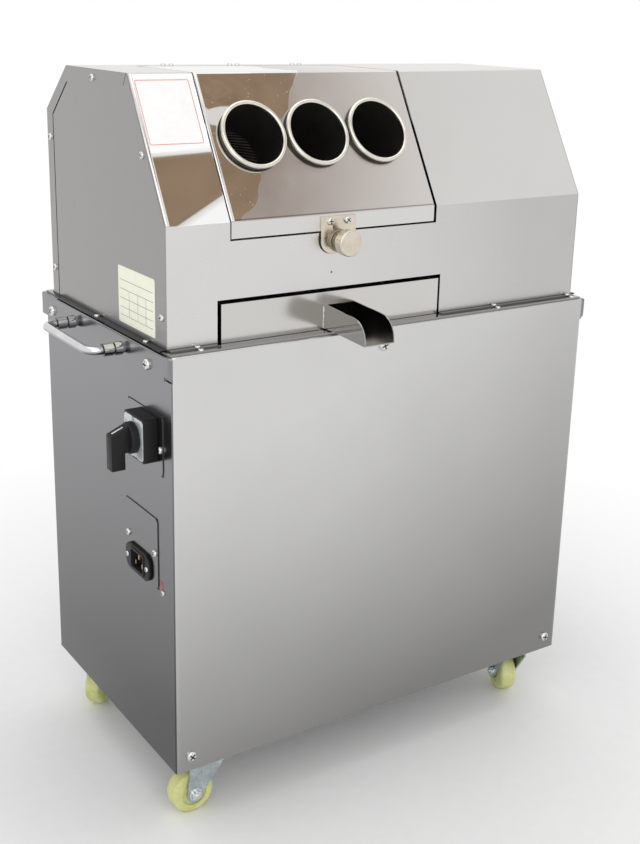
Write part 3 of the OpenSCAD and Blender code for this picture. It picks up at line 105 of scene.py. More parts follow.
class Finish:
    """One material and its node tree."""

    def __init__(self, name, metal, rough):
        self.mat = bpy.data.materials.new(name)
        self.mat.use_nodes = True
        self.tree = self.mat.node_tree
        self.shader = self.tree.nodes["Principled BSDF"]
        self.shader.inputs["Metallic"].default_value = metal
        self.shader.inputs["Roughness"].default_value = rough
        self.coords = None

    def add(self, kind, settings=None, **links):
        node = self.tree.nodes.new(kind)
        for key, value in (settings or {}).items():
            setattr(node, key, value)
        for key, value in links.items():
            self.feed(node, key, value)
        return node

    def feed(self, node, key, value):
        names = {"a": 0, "b": 1, "c": 2}
        socket = node.inputs[names[key]] if key in names else node.inputs[key.replace("_", " ")]
        if isinstance(value, bpy.types.NodeSocket):
            self.tree.links.new(value, socket)
        else:
            socket.default_value = value

    def place(self, scale=(1, 1, 1), turn=(0, 0, 0), shift=(0, 0, 0)):
        if self.coords is None:
            self.coords = self.tree.nodes.new("ShaderNodeTexCoord")
        node = self.add("ShaderNodeMapping", Vector=self.coords.outputs["Object"],
                        Scale=scale, Rotation=turn, Location=shift)
        return node.outputs["Vector"]

    def cloud(self, where, scale, detail=3.0, rough=0.5):
        node = self.add("ShaderNodeTexNoise", Vector=where, Scale=scale, Detail=detail, Roughness=rough)
        return node.outputs["Fac"]

    def maths(self, how, a, b=0.0, c=0.0, clamp=False):
        node = self.add("ShaderNodeMath", {"operation": how, "use_clamp": clamp}, a=a, b=b, c=c)
        return node.outputs[0]

    def spread(self, value, low, high, start=0.3, end=0.7):
        node = self.add("ShaderNodeMapRange", {"clamp": True})
        for key, number in (("From Min", start), ("From Max", end), ("To Min", low), ("To Max", high)):
            node.inputs[key].default_value = number
        self.tree.links.new(value, node.inputs["Value"])
        return node.outputs["Result"]

    def mix(self, share, one, two):
        node = self.add("ShaderNodeMix", {"data_type": "RGBA"})
        for index, value in ((0, share), (6, one), (7, two)):
            if isinstance(value, bpy.types.NodeSocket):
                self.tree.links.new(value, node.inputs[index])
            elif index == 0:
                node.inputs[index].default_value = value
            else:
                node.inputs[index].default_value = (*value, 1.0)
        return node.outputs[2]

    def blend(self, share, one, two):
        node = self.add("ShaderNodeMix", {"data_type": "FLOAT"})
        for index, value in ((0, share), (2, one), (3, two)):
            if isinstance(value, bpy.types.NodeSocket):
                self.tree.links.new(value, node.inputs[index])
            else:
                node.inputs[index].default_value = value
        return node.outputs[0]

    def colour(self, socket):
        self.tree.links.new(socket, self.shader.inputs["Base Color"])

    def roughness(self, socket):
        self.tree.links.new(socket, self.shader.inputs["Roughness"])

    def bump(self, height, strength, distance, under=None):
        node = self.add("ShaderNodeBump", Height=height, Strength=strength, Distance=distance)
        if under is not None:
            self.tree.links.new(under.outputs["Normal"], node.inputs["Normal"])
        self.tree.links.new(node.outputs["Normal"], self.shader.inputs["Normal"])
        return node

    def axes(self):
        node = self.add("ShaderNodeSeparateXYZ", Vector=self.place())
        return node.outputs["X"], node.outputs["Y"], node.outputs["Z"]


def shade(tone, factor):
    return tuple(min(1.0, channel * factor) for channel in tone)


# %% [markdown]
# ## Stainless sheet
# The cabinet and the hood are satin stainless sheet. Its grain is a noise stretched
# along the rolling direction, and a large soft noise stands for the handling marks that
# change its gloss. The sheet is never quite flat either, so a very weak, wide bump
# bends the reflections a little. In the photo the room shades the cabinet towards the floor
# and on its sides. There is no such room here, so the finish holds that shade: its tone is
# lowered by place. The corners are rolled, and a bump turns the light there.

# %% Satin sheet
steel_tone = (0.63, 0.626, 0.615)
grain_up = (900.0, 900.0, 9.0)
grain_across = (9.0, 900.0, 900.0)
side_face_x, roll_start_x, cabinet_front_y = 0.279, 0.2735, -0.1665
left_shade, right_shade = (0.385, 0.38, 0.402), (0.6, 0.595, 0.615)


def satin_sheet(name, tone, stretch, low, high, wave=0.05):
    f = Finish(name, 1.0, low)
    grain = f.cloud(f.place(stretch), 1.0, 4.0, 0.6)
    marks = f.cloud(f.place(), 5.5, 4.0, 0.55)
    stain = f.cloud(f.place((1, 1, 1), (0.3, 0.2, 0.9)), 2.2, 2.0, 0.5)
    toned = f.mix(f.spread(marks, 0.0, 1.0), shade(tone, 0.97), shade(tone, 1.03))
    f.colour(f.mix(f.spread(grain, 0.0, 0.05), toned, shade(tone, 0.88)))
    gloss = f.maths("ADD", f.maths("MULTIPLY", marks, 0.9), f.maths("MULTIPLY", grain, 0.1))
    f.roughness(f.spread(gloss, low, high, 0.35, 0.65))
    wide = f.bump(stain, wave, 0.01)
    f.bump(grain, 0.008, 0.0002, wide)
    return f


def times(f, share, shadow):
    """Multiplies a finish's colour by a grey or a colour, where the share says so."""
    node = f.add("ShaderNodeMix", {"data_type": "RGBA", "blend_type": "MULTIPLY"})
    for index, value in ((0, share), (6, f.shader.inputs["Base Color"].links[0].from_socket), (7, shadow)):
        if isinstance(value, bpy.types.NodeSocket):
            f.tree.links.new(value, node.inputs[index])
        else:
            node.inputs[index].default_value = value if index == 0 else (*value, 1.0)
    f.colour(node.outputs[2])


def beyond(f, value, limit):
    """A mask that is 1 where the value is past the limit."""
    return f.spread(value, 0.0, 1.0, limit - 0.0002, limit + 0.0002)


def cabinet_sheet(name):
    f = satin_sheet(name, steel_tone, grain_up, 0.17, 0.24)
    x, y, z = f.axes()
    out = f.maths("ABSOLUTE", x)
    left = beyond(f, f.maths("MULTIPLY", x, -1.0), side_face_x)
    right = beyond(f, x, side_face_x)
    side = f.maths("ADD", left, right)
    face = f.maths("SUBTRACT", 1.0, side)
    level = f.maths("MULTIPLY_ADD", x, -0.28, z)
    # Painted shade: the front darkens towards the floor and towards the right, and the sides are darker, most
    # of all low down.
    times(f, face, f.spread(level, 0.46, 1.0, 0.07, 0.5))
    times(f, face, f.spread(x, 1.0, 0.87, -0.05, 0.25))
    times(f, left, left_shade)
    times(f, right, right_shade)
    times(f, side, f.spread(z, 0.4, 1.0, 0.14, 0.5))
    roll = f.maths("MAXIMUM", f.maths("SUBTRACT", out, roll_start_x), 0.0)
    roll = f.maths("MULTIPLY", roll, f.maths("SUBTRACT", 1.0, beyond(f, y, cabinet_front_y)))
    flat = f.shader.inputs["Normal"].links[0].from_node
    f.bump(f.maths("MULTIPLY", f.maths("POWER", roll, 2.0), -30.0), 1.0, 1.0, flat)
    return f


cabinet_satin = cabinet_sheet("cabinet_satin")
print("satin sheet", cabinet_satin.mat.name)

# %% [markdown]
# ## Polished sheet on the slope
# The strip of slope beside the lid is bare mirror-polished sheet, and the rest of the hood
# is satin. Both are one folded sheet on the real hood, so one finish holds both, and a mask
# in Object coordinates says where the polish starts. The strip is bent a little at its lower
# right corner and under the label, where it mirrors the bright room, and its tone is lighter
# there. The ends of the hood and the right of its front hold the shade of the photo's room,
# as on the cabinet.

# %% Hood sheet with a polished strip
lid_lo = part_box("feed_lid")[0]
hood_lo, hood_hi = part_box("hood_shell")
slope_foot_z = 0.674
crest_y = -0.068
hood_front_y = -0.147
slope_tilt = math.radians(60)
strip_edge_x = lid_lo.x - 0.0015
left_end_shade, right_end_shade = (0.47, 0.466, 0.472), (0.65, 0.645, 0.65)
nick_x, nick_z = -0.0805, 0.6117


def hood_sheet(name, tone):
    f = satin_sheet(name, tone, grain_across, 0.22, 0.3, 0.04)
    x, y, z = f.axes()
    sloped = f.maths("MULTIPLY", beyond(f, z, slope_foot_z), f.maths("SUBTRACT", 1.0, beyond(f, y, crest_y)))
    strip = f.maths("MULTIPLY", beyond(f, x, hood_lo.x), f.maths("SUBTRACT", 1.0, beyond(f, x, strip_edge_x)))
    mirror = f.maths("MULTIPLY", strip, sloped)
    satin = f.shader.inputs["Roughness"].links[0].from_socket
    f.roughness(f.blend(mirror, satin, 0.07))
    plain = f.shader.inputs["Base Color"].links[0].from_socket
    up = f.maths("DIVIDE", f.maths("SUBTRACT", z, slope_foot_z), math.sin(slope_tilt))
    corner = f.maths("MULTIPLY_ADD", f.maths("SUBTRACT", x, hood_lo.x), 0.5, f.maths("MULTIPLY", up, -1.0))
    brow = f.maths("SUBTRACT", up, 0.066)
    bent = f.maths("MAXIMUM", f.maths("MAXIMUM", corner, brow), 0.0)
    bent = f.maths("MULTIPLY", bent, mirror)
    # Painted reflection: where the strip is bent it mirrors the bright room, so its tone is lightened there.
    glare = f.spread(bent, 0.0, 1.0, 0.006, 0.014)
    f.colour(f.mix(glare, f.mix(mirror, plain, (0.66, 0.645, 0.62)), (0.92, 0.915, 0.91)))
    flat = f.shader.inputs["Normal"].links[0].from_node
    f.bump(f.maths("MULTIPLY", f.maths("POWER", bent, 2.0), -3.5), 1.0, 1.0, flat)
    out = f.maths("ABSOLUTE", x)
    # Painted shade: the ends of the hood and the right of its front are darker.
    times(f, beyond(f, f.maths("MULTIPLY", x, -1.0), hood_hi.x + 0.0005), left_end_shade)
    times(f, beyond(f, x, hood_hi.x + 0.0005), right_end_shade)
    front = f.maths("SUBTRACT", 1.0, beyond(f, y, hood_front_y))
    front = f.maths("SUBTRACT", front, f.maths("MULTIPLY", front, beyond(f, z, slope_foot_z)))
    times(f, front, f.spread(x, 1.0, 0.78, -0.1, 0.2))
    # Painted shade: a dark band along the hood's foot where it meets the deck, darker still beyond the hood's
    # ends.
    foot_shade = f.maths("SUBTRACT", beyond(f, z, hood_lo.z - 0.001), beyond(f, z, hood_lo.z + 0.002))
    times(f, foot_shade, (0.3, 0.295, 0.29))
    times(f, f.maths("MULTIPLY", foot_shade, beyond(f, out, hood_hi.x + 0.0016)), (0.2, 0.2, 0.2))
    aside = f.maths("POWER", f.maths("SUBTRACT", x, nick_x), 2.0)
    above = f.maths("POWER", f.maths("SUBTRACT", z, nick_z), 2.0)
    nick = f.spread(f.maths("SQRT", f.maths("ADD", aside, above)), 1.0, 0.0, 0.0009, 0.0014)
    times(f, nick, (0.16, 0.15, 0.14))
    return f


hood_satin = hood_sheet("hood_satin", (0.66, 0.65, 0.635))
print("hood sheet", [round(v, 3) for v in hood_lo], [round(v, 3) for v in hood_hi])

# %% [markdown]
# ## Lid sheet
# The lid still wears part of the film that protects polished sheet in the workshop. It is
# peeled off at the left, where the steel mirrors the room, and dulls the rest. The edge
# of the film runs slantwise across the lid. A shallow dent beside the left tube, from
# pressing the tube in, bends the mirror picture there.

# %% Lid sheet with half its film


def lid_sheet(name):
    f = Finish(name, 1.0, 0.1)
    x, _, z = f.axes()
    ripple = f.cloud(f.place(), 24.0, 2.0)
    film_edge = f.maths("MULTIPLY_ADD", f.maths("SUBTRACT", z, slope_foot_z), 0.796, lid_lo.x + 0.015)
    film_edge = f.maths("MULTIPLY_ADD", f.maths("SUBTRACT", ripple, 0.5), 0.032, film_edge)
    bare = f.spread(f.maths("SUBTRACT", film_edge, x), 0.0, 1.0, -0.0006, 0.0006)
    lip = f.spread(z, 1.0, 0.0, slope_foot_z - 0.001, slope_foot_z + 0.001)
    bare = f.maths("MULTIPLY", bare, f.maths("SUBTRACT", 1.0, lip))
    marks = f.cloud(f.place(), 9.0, 4.0, 0.6)
    specks = f.spread(f.cloud(f.place(), 420.0, 2.0), 0.0, 1.0, 0.71, 0.74)
    # Painted shade: the film is darker towards the left.
    film = f.mix(f.spread(x, 0.0, 1.0, -0.13, 0.04), (0.47, 0.435, 0.415), (0.64, 0.61, 0.59))
    film = f.mix(f.spread(marks, 0.0, 0.1), film, (0.8, 0.78, 0.76))
    film = f.mix(lip, film, (0.66, 0.655, 0.64))
    clear = f.mix(f.maths("MULTIPLY", specks, 0.5), (0.66, 0.645, 0.62), (0.9, 0.88, 0.84))
    f.colour(f.mix(bare, film, clear))
    # Painted shade: a dark line along the fold of the lip.
    lip_fold_shade = f.maths("ABSOLUTE", f.maths("SUBTRACT", z, slope_foot_z + 0.0016))
    times(f, f.spread(lip_fold_shade, 0.8, 0.0, 0.0004, 0.0009), (0.4, 0.38, 0.36))
    dull = f.spread(marks, 0.2, 0.3)
    dull = f.blend(lip, dull, 0.3)
    f.roughness(f.blend(bare, dull, f.blend(specks, 0.05, 0.3)))
    up = f.maths("DIVIDE", f.maths("SUBTRACT", z, slope_foot_z), math.sin(slope_tilt))
    off_x = f.maths("DIVIDE", f.maths("SUBTRACT", x, lid_lo.x + 0.014), 0.03)
    off_up = f.maths("DIVIDE", f.maths("SUBTRACT", up, 0.13), 0.022)
    near = f.maths("ADD", f.maths("POWER", off_x, 2.0), f.maths("POWER", off_up, 2.0))
    dent = f.maths("POWER", math.e, f.maths("MULTIPLY", near, -1.0))
    pressed = f.bump(f.maths("MULTIPLY", dent, -0.0022), 1.0, 1.0)
    wide = f.bump(f.cloud(f.place(), 4.0, 2.0), 0.06, 0.01, pressed)
    f.bump(f.maths("MULTIPLY", ripple, bare), 0.02, 0.002, wide)
    return f


lid_finish = lid_sheet("lid_sheet")
tray_satin = satin_sheet("tray_satin", (0.6, 0.585, 0.56), grain_up, 0.12, 0.24, 0.12)
# Painted shade: the spout's steel is given a darker tone than the tray's.
spout_satin_shaded = satin_sheet("spout_satin_shaded", (0.4, 0.39, 0.37), grain_up, 0.1, 0.18, 0.1)
# Painted shade: the deck is given a dark tone.
deck_satin_shaded = satin_sheet("deck_satin_shaded", (0.3, 0.295, 0.29), grain_across, 0.13, 0.22)
print("lid sheet", [round(v, 3) for v in lid_lo])

# %% [markdown]
# ## Feed tubes
# The tubes are nickel-bright outside and on the rolled bead, and dark inside: a painted shade
# for the unlit bore. A painted shadow darkens the outer wall under the bead. Fine pale lines at
# the inner end of the left tube are painted highlights that stand for the lit flutes of the
# rollers, which show there in the photo. The mask is the distance from the tube's own axis:
# the Mapping node turns the coordinates so that Z runs along the slanted tube.

# %% Tube finish
tube_mid_x, tube_pitch = -0.075, 0.0786
tube_foot = Vector((tube_mid_x, -0.1045, 0.75281))
tube_bore_r, bead_level, line_pitch = 0.0348, 0.0034, 0.0032


def tube_steel(name):
    f = Finish(name, 1.0, 0.25)
    turned = f.place((1, 1, 1), (slope_tilt, 0, 0), tuple(tube_foot))
    mapping = turned.node
    mapping.vector_type = "TEXTURE"
    parts = f.add("ShaderNodeSeparateXYZ", Vector=turned)
    along = parts.outputs["Z"]
    across = f.maths("WRAP", parts.outputs["X"], tube_pitch / 2, -tube_pitch / 2)
    away = f.maths("ADD", f.maths("POWER", across, 2.0), f.maths("POWER", parts.outputs["Y"], 2.0))
    away = f.maths("SQRT", away)
    inside = f.spread(away, 1.0, 0.0, tube_bore_r + 0.0002, tube_bore_r + 0.0006)
    inside = f.maths("MULTIPLY", inside, f.spread(along, 1.0, 0.0, bead_level - 0.001, bead_level + 0.0005))
    stain = f.cloud(f.place(), 60.0, 5.0, 0.6)
    bright = f.mix(f.spread(stain, 0.0, 1.0), (0.66, 0.63, 0.56), (0.76, 0.73, 0.66))
    # Painted shadow: the outer wall just under the bead is darkened.
    under = f.spread(along, 1.0, 0.0, bead_level + 0.0002, bead_level + 0.0012)
    under = f.maths("MULTIPLY", under, f.spread(along, 0.0, 1.0, -0.002, -0.001))
    bright = f.mix(under, bright, (0.05, 0.043, 0.034))
    # Painted shade: the inside of the bore is nearly black.
    dark = f.mix(f.spread(stain, 0.0, 1.0), (0.006, 0.005, 0.004), (0.016, 0.014, 0.011))
    # Painted highlights: pale lines that stand for the lit flutes of the rollers.
    height = f.add("ShaderNodeSeparateXYZ", Vector=f.place()).outputs["Z"]
    flute_glints = f.maths("SINE", f.maths("MULTIPLY", height, 2.0 * math.pi / line_pitch))
    flute_glints = f.maths("MULTIPLY", f.spread(flute_glints, 0.0, 1.0, 0.2, 0.9), f.spread(stain, 0.4, 1.0))
    flute_glints = f.maths("MULTIPLY", flute_glints, f.spread(along, 1.0, 0.0, -0.062, -0.056))
    flute_glints = f.maths("MULTIPLY", flute_glints, f.spread(parts.outputs["X"], 1.0, 0.0, -0.06, 0.02))
    dark = f.mix(flute_glints, dark, (0.5, 0.45, 0.38))
    f.colour(f.mix(inside, bright, dark))
    f.tree.links.new(f.maths("SUBTRACT", 1.0, inside), f.shader.inputs["Metallic"])
    f.roughness(f.blend(inside, f.spread(stain, 0.16, 0.3), 0.55))
    f.bump(stain, 0.03, 0.0005)
    return f


tube_finish = tube_steel("tube_steel")
print("tube finish", tube_finish.mat.name)

# %% [markdown]
# ## The other finishes
# Bright metal, plated metal, moulded plastic, paint and rubber all follow one recipe:
# two tones mixed by a noise, a roughness range from the same noise, and a little bump.
# What makes them differ is the size of the noise and how strong each effect is.

# %% Common finishes


def mottled(name, metal, dark, light, low, high, size, bump, depth=0.0005, stretch=(1, 1, 1), detail=4.0):
    f = Finish(name, metal, low)
    patch = f.cloud(f.place(stretch), size, detail, 0.55)
    fine = f.cloud(f.place(stretch), size * 6.0, 2.0)
    both = f.maths("MULTIPLY_ADD", fine, 0.35, f.maths("MULTIPLY", patch, 0.65))
    f.colour(f.mix(f.spread(both, 0.0, 1.0, 0.38, 0.62), dark, light))
    f.roughness(f.spread(both, low, high, 0.38, 0.62))
    f.bump(both, bump, depth)
    return f


def turned_steel(name, dark, light, rings):
    """Steel off the lathe: fine rings along X."""
    f = mottled(name, 1.0, dark, light, 0.2, 0.42, 30.0, 0.03)
    lines = f.cloud(f.place((rings, 1.0, 1.0)), 1.0, 3.0)
    f.bump(lines, 0.08, 0.0004)
    return f


ferrule_joints = ((0.296, 0.2976), (0.3085, 0.3093))


def chrome(name):
    """Bright plating, with a painted shade where it looks down, and darker in the joints of the ferrules."""
    f = mottled(name, 1.0, (0.62, 0.62, 0.63), (0.72, 0.72, 0.73), 0.05, 0.1, 40.0, 0.01)
    way = f.add("ShaderNodeSeparateXYZ", Vector=f.coords.outputs["Normal"]).outputs["Z"]
    times(f, f.spread(way, 0.85, 0.0, -0.45, 0.15), (0.12, 0.12, 0.13))
    out = f.maths("ABSOLUTE", f.axes()[0])
    for start, stop in ferrule_joints:
        times(f, f.maths("SUBTRACT", beyond(f, out, start), beyond(f, out, stop)), (0.06, 0.06, 0.06))
    return f


def screw_steel(name):
    """Plated steel with a painted shade in the driver recess, which the heads mark with an attribute."""
    f = mottled(name, 1.0, (0.62, 0.62, 0.61), (0.76, 0.76, 0.74), 0.14, 0.3, 300.0, 0.03)
    mark = f.add("ShaderNodeAttribute", {"attribute_name": "recess"})
    times(f, mark.outputs["Fac"], (0.04, 0.04, 0.04))
    return f


finishes = {
    "cabinet_steel": cabinet_satin,
    "hood_steel": hood_satin,
    "lid_steel": lid_finish,
    "tube_steel": tube_finish,
    "handle_chrome": chrome("handle_chrome"),
    "screw_steel": screw_steel("screw_steel"),
    "latch_nickel": mottled("latch_nickel", 1.0, (0.6, 0.54, 0.44), (0.7, 0.64, 0.54),
                            0.22, 0.36, 120.0, 0.05),
    "black_plastic": mottled("black_plastic", 0.0, (0.008, 0.008, 0.009), (0.014, 0.014, 0.015),
                             0.4, 0.55, 500.0, 0.12),
    "face_plate": mottled("face_plate", 0.6, (0.55, 0.57, 0.58), (0.66, 0.68, 0.69), 0.3, 0.42, 200.0, 0.03),
    "brass": mottled("brass", 1.0, (0.66, 0.48, 0.2), (0.82, 0.64, 0.3), 0.2, 0.4, 90.0, 0.04),
    "hinge_steel": mottled("hinge_steel", 1.0, (0.46, 0.46, 0.46), (0.6, 0.6, 0.59), 0.24, 0.4, 80.0, 0.04),
    "roller_steel": turned_steel("roller_steel", (0.5, 0.49, 0.46), (0.66, 0.65, 0.62), 700.0),
    "machine_steel": mottled("machine_steel", 1.0, (0.3, 0.3, 0.3), (0.44, 0.44, 0.44), 0.3, 0.5, 40.0, 0.06),
    "machine_paint": mottled("machine_paint", 0.0, (0.035, 0.09, 0.17), (0.055, 0.13, 0.24),
                             0.3, 0.48, 60.0, 0.15, 0.001),
    "pulley_iron": mottled("pulley_iron", 1.0, (0.16, 0.16, 0.16), (0.26, 0.26, 0.26), 0.4, 0.6, 110.0, 0.12),
    "belt_rubber": mottled("belt_rubber", 0.0, (0.012, 0.012, 0.012), (0.03, 0.03, 0.029),
                           0.6, 0.85, 220.0, 0.2),
    "wheel_plastic": mottled("wheel_plastic", 0.0, (0.56, 0.58, 0.2), (0.7, 0.72, 0.35),
                             0.36, 0.55, 70.0, 0.05),
    "castor_zinc": mottled("castor_zinc", 1.0, (0.37, 0.42, 0.45), (0.56, 0.62, 0.63),
                           0.18, 0.34, 55.0, 0.04),
}
finishes["black_plastic"].shader.inputs["Specular IOR Level"].default_value = 0.2
# Painted shade: the collar between bracket and knob is given a darker tone than the rest of the latch.
collar_nickel_shaded = mottled("collar_nickel_shaded", 1.0, (0.26, 0.23, 0.17), (0.36, 0.32, 0.25), 0.2, 0.32, 120.0, 0.05)
own_finish = {"latch_collar": collar_nickel_shaded, "cover_plates": cabinet_satin, "juice_tray": tray_satin,
              "juice_spout": spout_satin_shaded, "deck_plate": deck_satin_shaded}
for node_name, solid in nodes.items():
    solid.data.materials.clear()
    finish = own_finish.get(node_name) or finishes[slot_of[node_name]]
    solid.data.materials.append(finish.mat)
print("finishes", len(finishes))

# %% [markdown]
# ## Modelling by hand, in code
# New pieces are added as primitives and shaped with the edit-mode operators. An operator
# acts on everything that is selected, and the loaded frame is selected as a whole, so each
# step starts by deselecting all and choosing one piece.

# %% Helpers for pieces


def only(piece):
    bpy.ops.object.select_all(action="DESELECT")
    piece.select_set(True)
    bpy.context.view_layer.objects.active = piece
    return piece


def named(name):
    piece = bpy.context.view_layer.objects.active
    piece.name = name
    piece.data.name = name
    return piece


def bake_place(piece, matrix=None):
    """Moves the piece's place into its mesh, so that its object sits at the origin."""
    only(piece)
    bpy.ops.object.transform_apply(location=True, rotation=True, scale=True)
    if matrix is not None:
        piece.data.transform(matrix)
        piece.data.update()
    return piece


def apply_modifier(piece, kind, **settings):
    modifier = piece.modifiers.new(kind.lower(), kind)
    for key, value in settings.items():
        setattr(modifier, key, value)
    only(piece)
    bpy.ops.object.modifier_apply(modifier=modifier.name)


def settle(piece, body, finish, smooth=35):
    """Smooths a finished piece, gives it its finish and ties it to the body that it moves with."""
    only(piece)
    bpy.ops.object.shade_smooth_by_angle(angle=math.radians(smooth))
    piece.data.materials.clear()
    piece.data.materials.append(finish.mat)
    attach(piece, body)
    return piece


def join(pieces, name):
    bpy.ops.object.select_all(action="DESELECT")
    for piece in pieces:
        piece.select_set(True)
    bpy.context.view_layer.objects.active = pieces[0]
    if len(pieces) > 1:
        bpy.ops.object.join()
    return named(name)


def facing(out, up_hint=Vector((0, 0, 1))):
    """A frame whose Z points out of a face, and whose Y is as near to up_hint as it can be."""
    out = Vector(out).normalized()
    if abs(out.dot(up_hint)) > 0.95:
        up_hint = Vector((0, 1, 0))
    side = up_hint.cross(out).normalized()
    up = out.cross(side)
    return Matrix((side, up, out)).transposed()


def at(place, turn):
    return Matrix.Translation(Vector(place)) @ turn.to_4x4()


# %% [markdown]
# ## Screws
# The solids carry plain heads. The real ones are pan heads with a cross recess, so one
# head is modelled for each size, its top edge rounded and its recess cut by a boolean, and
# copied to every place where the frame has a head. The places come from the frame itself:
# each loose island of the screws' mesh is one screw.

# %% One pan head
head_sides = 24


def pan_head(name, width, height):
    bpy.ops.object.select_all(action="DESELECT")
    bpy.ops.mesh.primitive_cylinder_add(vertices=head_sides, radius=width / 2, depth=height,
                                        location=(0, 0, height / 2))
    head = named(name)
    bpy.ops.object.mode_set(mode="EDIT")
    bpy.ops.mesh.select_mode(type="EDGE")
    bpy.ops.mesh.select_all(action="DESELECT")
    bm = bmesh.from_edit_mesh(head.data)
    for edge in bm.edges:
        edge.select = all(v.co.z > height * 0.4 for v in edge.verts)
    bmesh.update_edit_mesh(head.data)
    bpy.ops.mesh.bevel(offset=height * 0.72, segments=4, profile=0.5, affect="EDGES")
    bpy.ops.object.mode_set(mode="OBJECT")
    bake_place(head)
    arms = []
    for turn in (0.0, math.pi / 2):
        bpy.ops.object.select_all(action="DESELECT")
        bpy.ops.mesh.primitive_cube_add(size=1.0, location=(0, 0, height * 1.05), rotation=(0, 0, turn))
        arm = named(name + "_arm")
        arm.scale = (width * 0.58, width * 0.13, height * 1.1)
        arms.append(bake_place(arm))
    recess = join(arms, name + "_recess")
    apply_modifier(head, "BOOLEAN", object=recess, operation="DIFFERENCE", solver="EXACT", use_self=True)
    bpy.data.objects.remove(recess)
    mark = head.data.attributes.new("recess", "FLOAT", "FACE")
    for face in head.data.polygons:
        low = face.center.z < height * 0.98 and face.center.xy.length < width * 0.3
        mark.data[face.index].value = 1.0 if low and face.center.z > height * 0.4 else 0.0
    return head


heads = {}


def head_for(width):
    """The modelled head of this width, made the first time that it is asked for."""
    key = round(width * 1000)
    if key not in heads:
        heads[key] = pan_head(f"head_{key}", key / 1000, key / 3000)
    return heads[key]


print("heads of", [len(head_for(width).data.polygons) for width in (0.006, 0.008, 0.012)], "faces")

# %% Places of the screws


def islands(node):
    """The loose parts of a solid, each as its list of points."""
    mesh = nodes[node].data
    keys = [tuple(round(c, 6) for c in v.co) for v in mesh.vertices]
    parent = {key: key for key in keys}

    def root(key):
        while parent[key] != key:
            parent[key] = parent[parent[key]]
            key = parent[key]
        return key

    for face in mesh.polygons:
        first = root(keys[face.vertices[0]])
        for index in face.vertices[1:]:
            parent[root(keys[index])] = first
    groups = {}
    for key in sorted(set(keys)):
        groups.setdefault(root(key), []).append(Vector(key))
    return [groups[key] for key in sorted(groups)]


def head_place(points):
    """Where a head sits, which way it faces (always outwards) and how wide it is."""
    low = Vector([min(p[i] for p in points) for i in range(3)])
    high = Vector([max(p[i] for p in points) for i in range(3)])
    axis = min(range(3), key=lambda i: high[i] - low[i])
    across = [i for i in range(3) if i != axis]
    width = max(high[i] - low[i] for i in across)
    middle = (low + high) / 2
    centre = [middle[i] for i in across]
    rim = [p[axis] for p in points if math.dist([p[i] for i in across], centre) > width * 0.45]
    out = math.copysign(1.0, middle[axis])
    place, way = middle.copy(), Vector((0, 0, 0))
    place[axis] = min(rim) if out > 0 else max(rim)
    way[axis] = out
    return place, way, width


def dress_screws(node, body):
    made = []
    for count, points in enumerate(islands(node)):
        place, way, width = head_place(points)
        copy = bpy.data.objects.new(f"{node}_{count}", head_for(width).data.copy())
        bpy.context.scene.collection.objects.link(copy)
        spin = Matrix.Rotation(count * 2.39996, 4, "Z")
        copy.data.transform(at(place, facing(way)) @ spin)
        made.append(copy)
    piece = join(made, node + "_pan_heads")
    settle(piece, body, finishes["screw_steel"], 40)
    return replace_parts(piece, node)


for node_name, body_name in (("cabinet_screws", "cabinet"), ("latch_screws", "lid")):
    dressed = dress_screws(node_name, body_name)
    print(dressed.name, len(dressed.data.polygons))
for head in heads.values():
    bpy.data.objects.remove(head)

# %% [markdown]
# ## Moulded and pressed pieces with soft edges
# Sharp computer edges give a part away. The switch, its knob, the inlet and the latch
# get a softened copy: the loose triangles are merged, flat areas dissolved into
# single faces, and every sharp edge is bevelled by a few tenths of a millimetre.

# %% Softened copies


def softened(node, body, width):
    copy = bpy.data.objects.new(node + "_soft", nodes[node].data.copy())
    bpy.context.scene.collection.objects.link(copy)
    only(copy)
    bpy.ops.object.mode_set(mode="EDIT")
    bpy.ops.mesh.select_all(action="SELECT")
    bpy.ops.mesh.remove_doubles(threshold=2e-6)
    bpy.ops.mesh.dissolve_limited(angle_limit=math.radians(1.0))
    bpy.ops.object.mode_set(mode="OBJECT")
    apply_modifier(copy, "BEVEL", width=width, segments=2, limit_method="ANGLE",
                   angle_limit=math.radians(40), harden_normals=False, use_clamp_overlap=True)
    settle(copy, body, own_finish.get(node) or finishes[slot_of[node]], 40)
    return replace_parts(copy, node)


soft_edges = (("switch_knob", "switch", 0.0009), ("switch_body", "cabinet", 0.0008),
              ("switch_face", "cabinet", 0.0004), ("power_inlet", "cabinet", 0.0006),
              ("latch_bracket", "lid", 0.0004), ("latch_collar", "lid", 0.0005))
for node_name, body_name, edge in soft_edges:
    piece = softened(node_name, body_name, edge)
    print(piece.name, len(piece.data.polygons))

# %% [markdown]
# ## Labels
# The machine carries two bare labels: a white one on the polished strip, with a thin red
# border, and a pale data plate on the left end, ruled into cells. They are printed film,
# so they are a fifth of a millimetre thick, with rounded corners.

# %% Label makers
film_t = 0.0002


def film(name, width, height, corner):
    bpy.ops.object.select_all(action="DESELECT")
    bpy.ops.mesh.primitive_plane_add(size=1.0)
    piece = named(name)
    piece.scale = (width, height, 1.0)
    bake_place(piece)
    bpy.ops.object.mode_set(mode="EDIT")
    bpy.ops.mesh.select_all(action="SELECT")
    bpy.ops.mesh.bevel(offset=corner, segments=5, affect="VERTICES")
    bpy.ops.object.mode_set(mode="OBJECT")
    apply_modifier(piece, "SOLIDIFY", thickness=film_t, offset=1.0)
    return piece


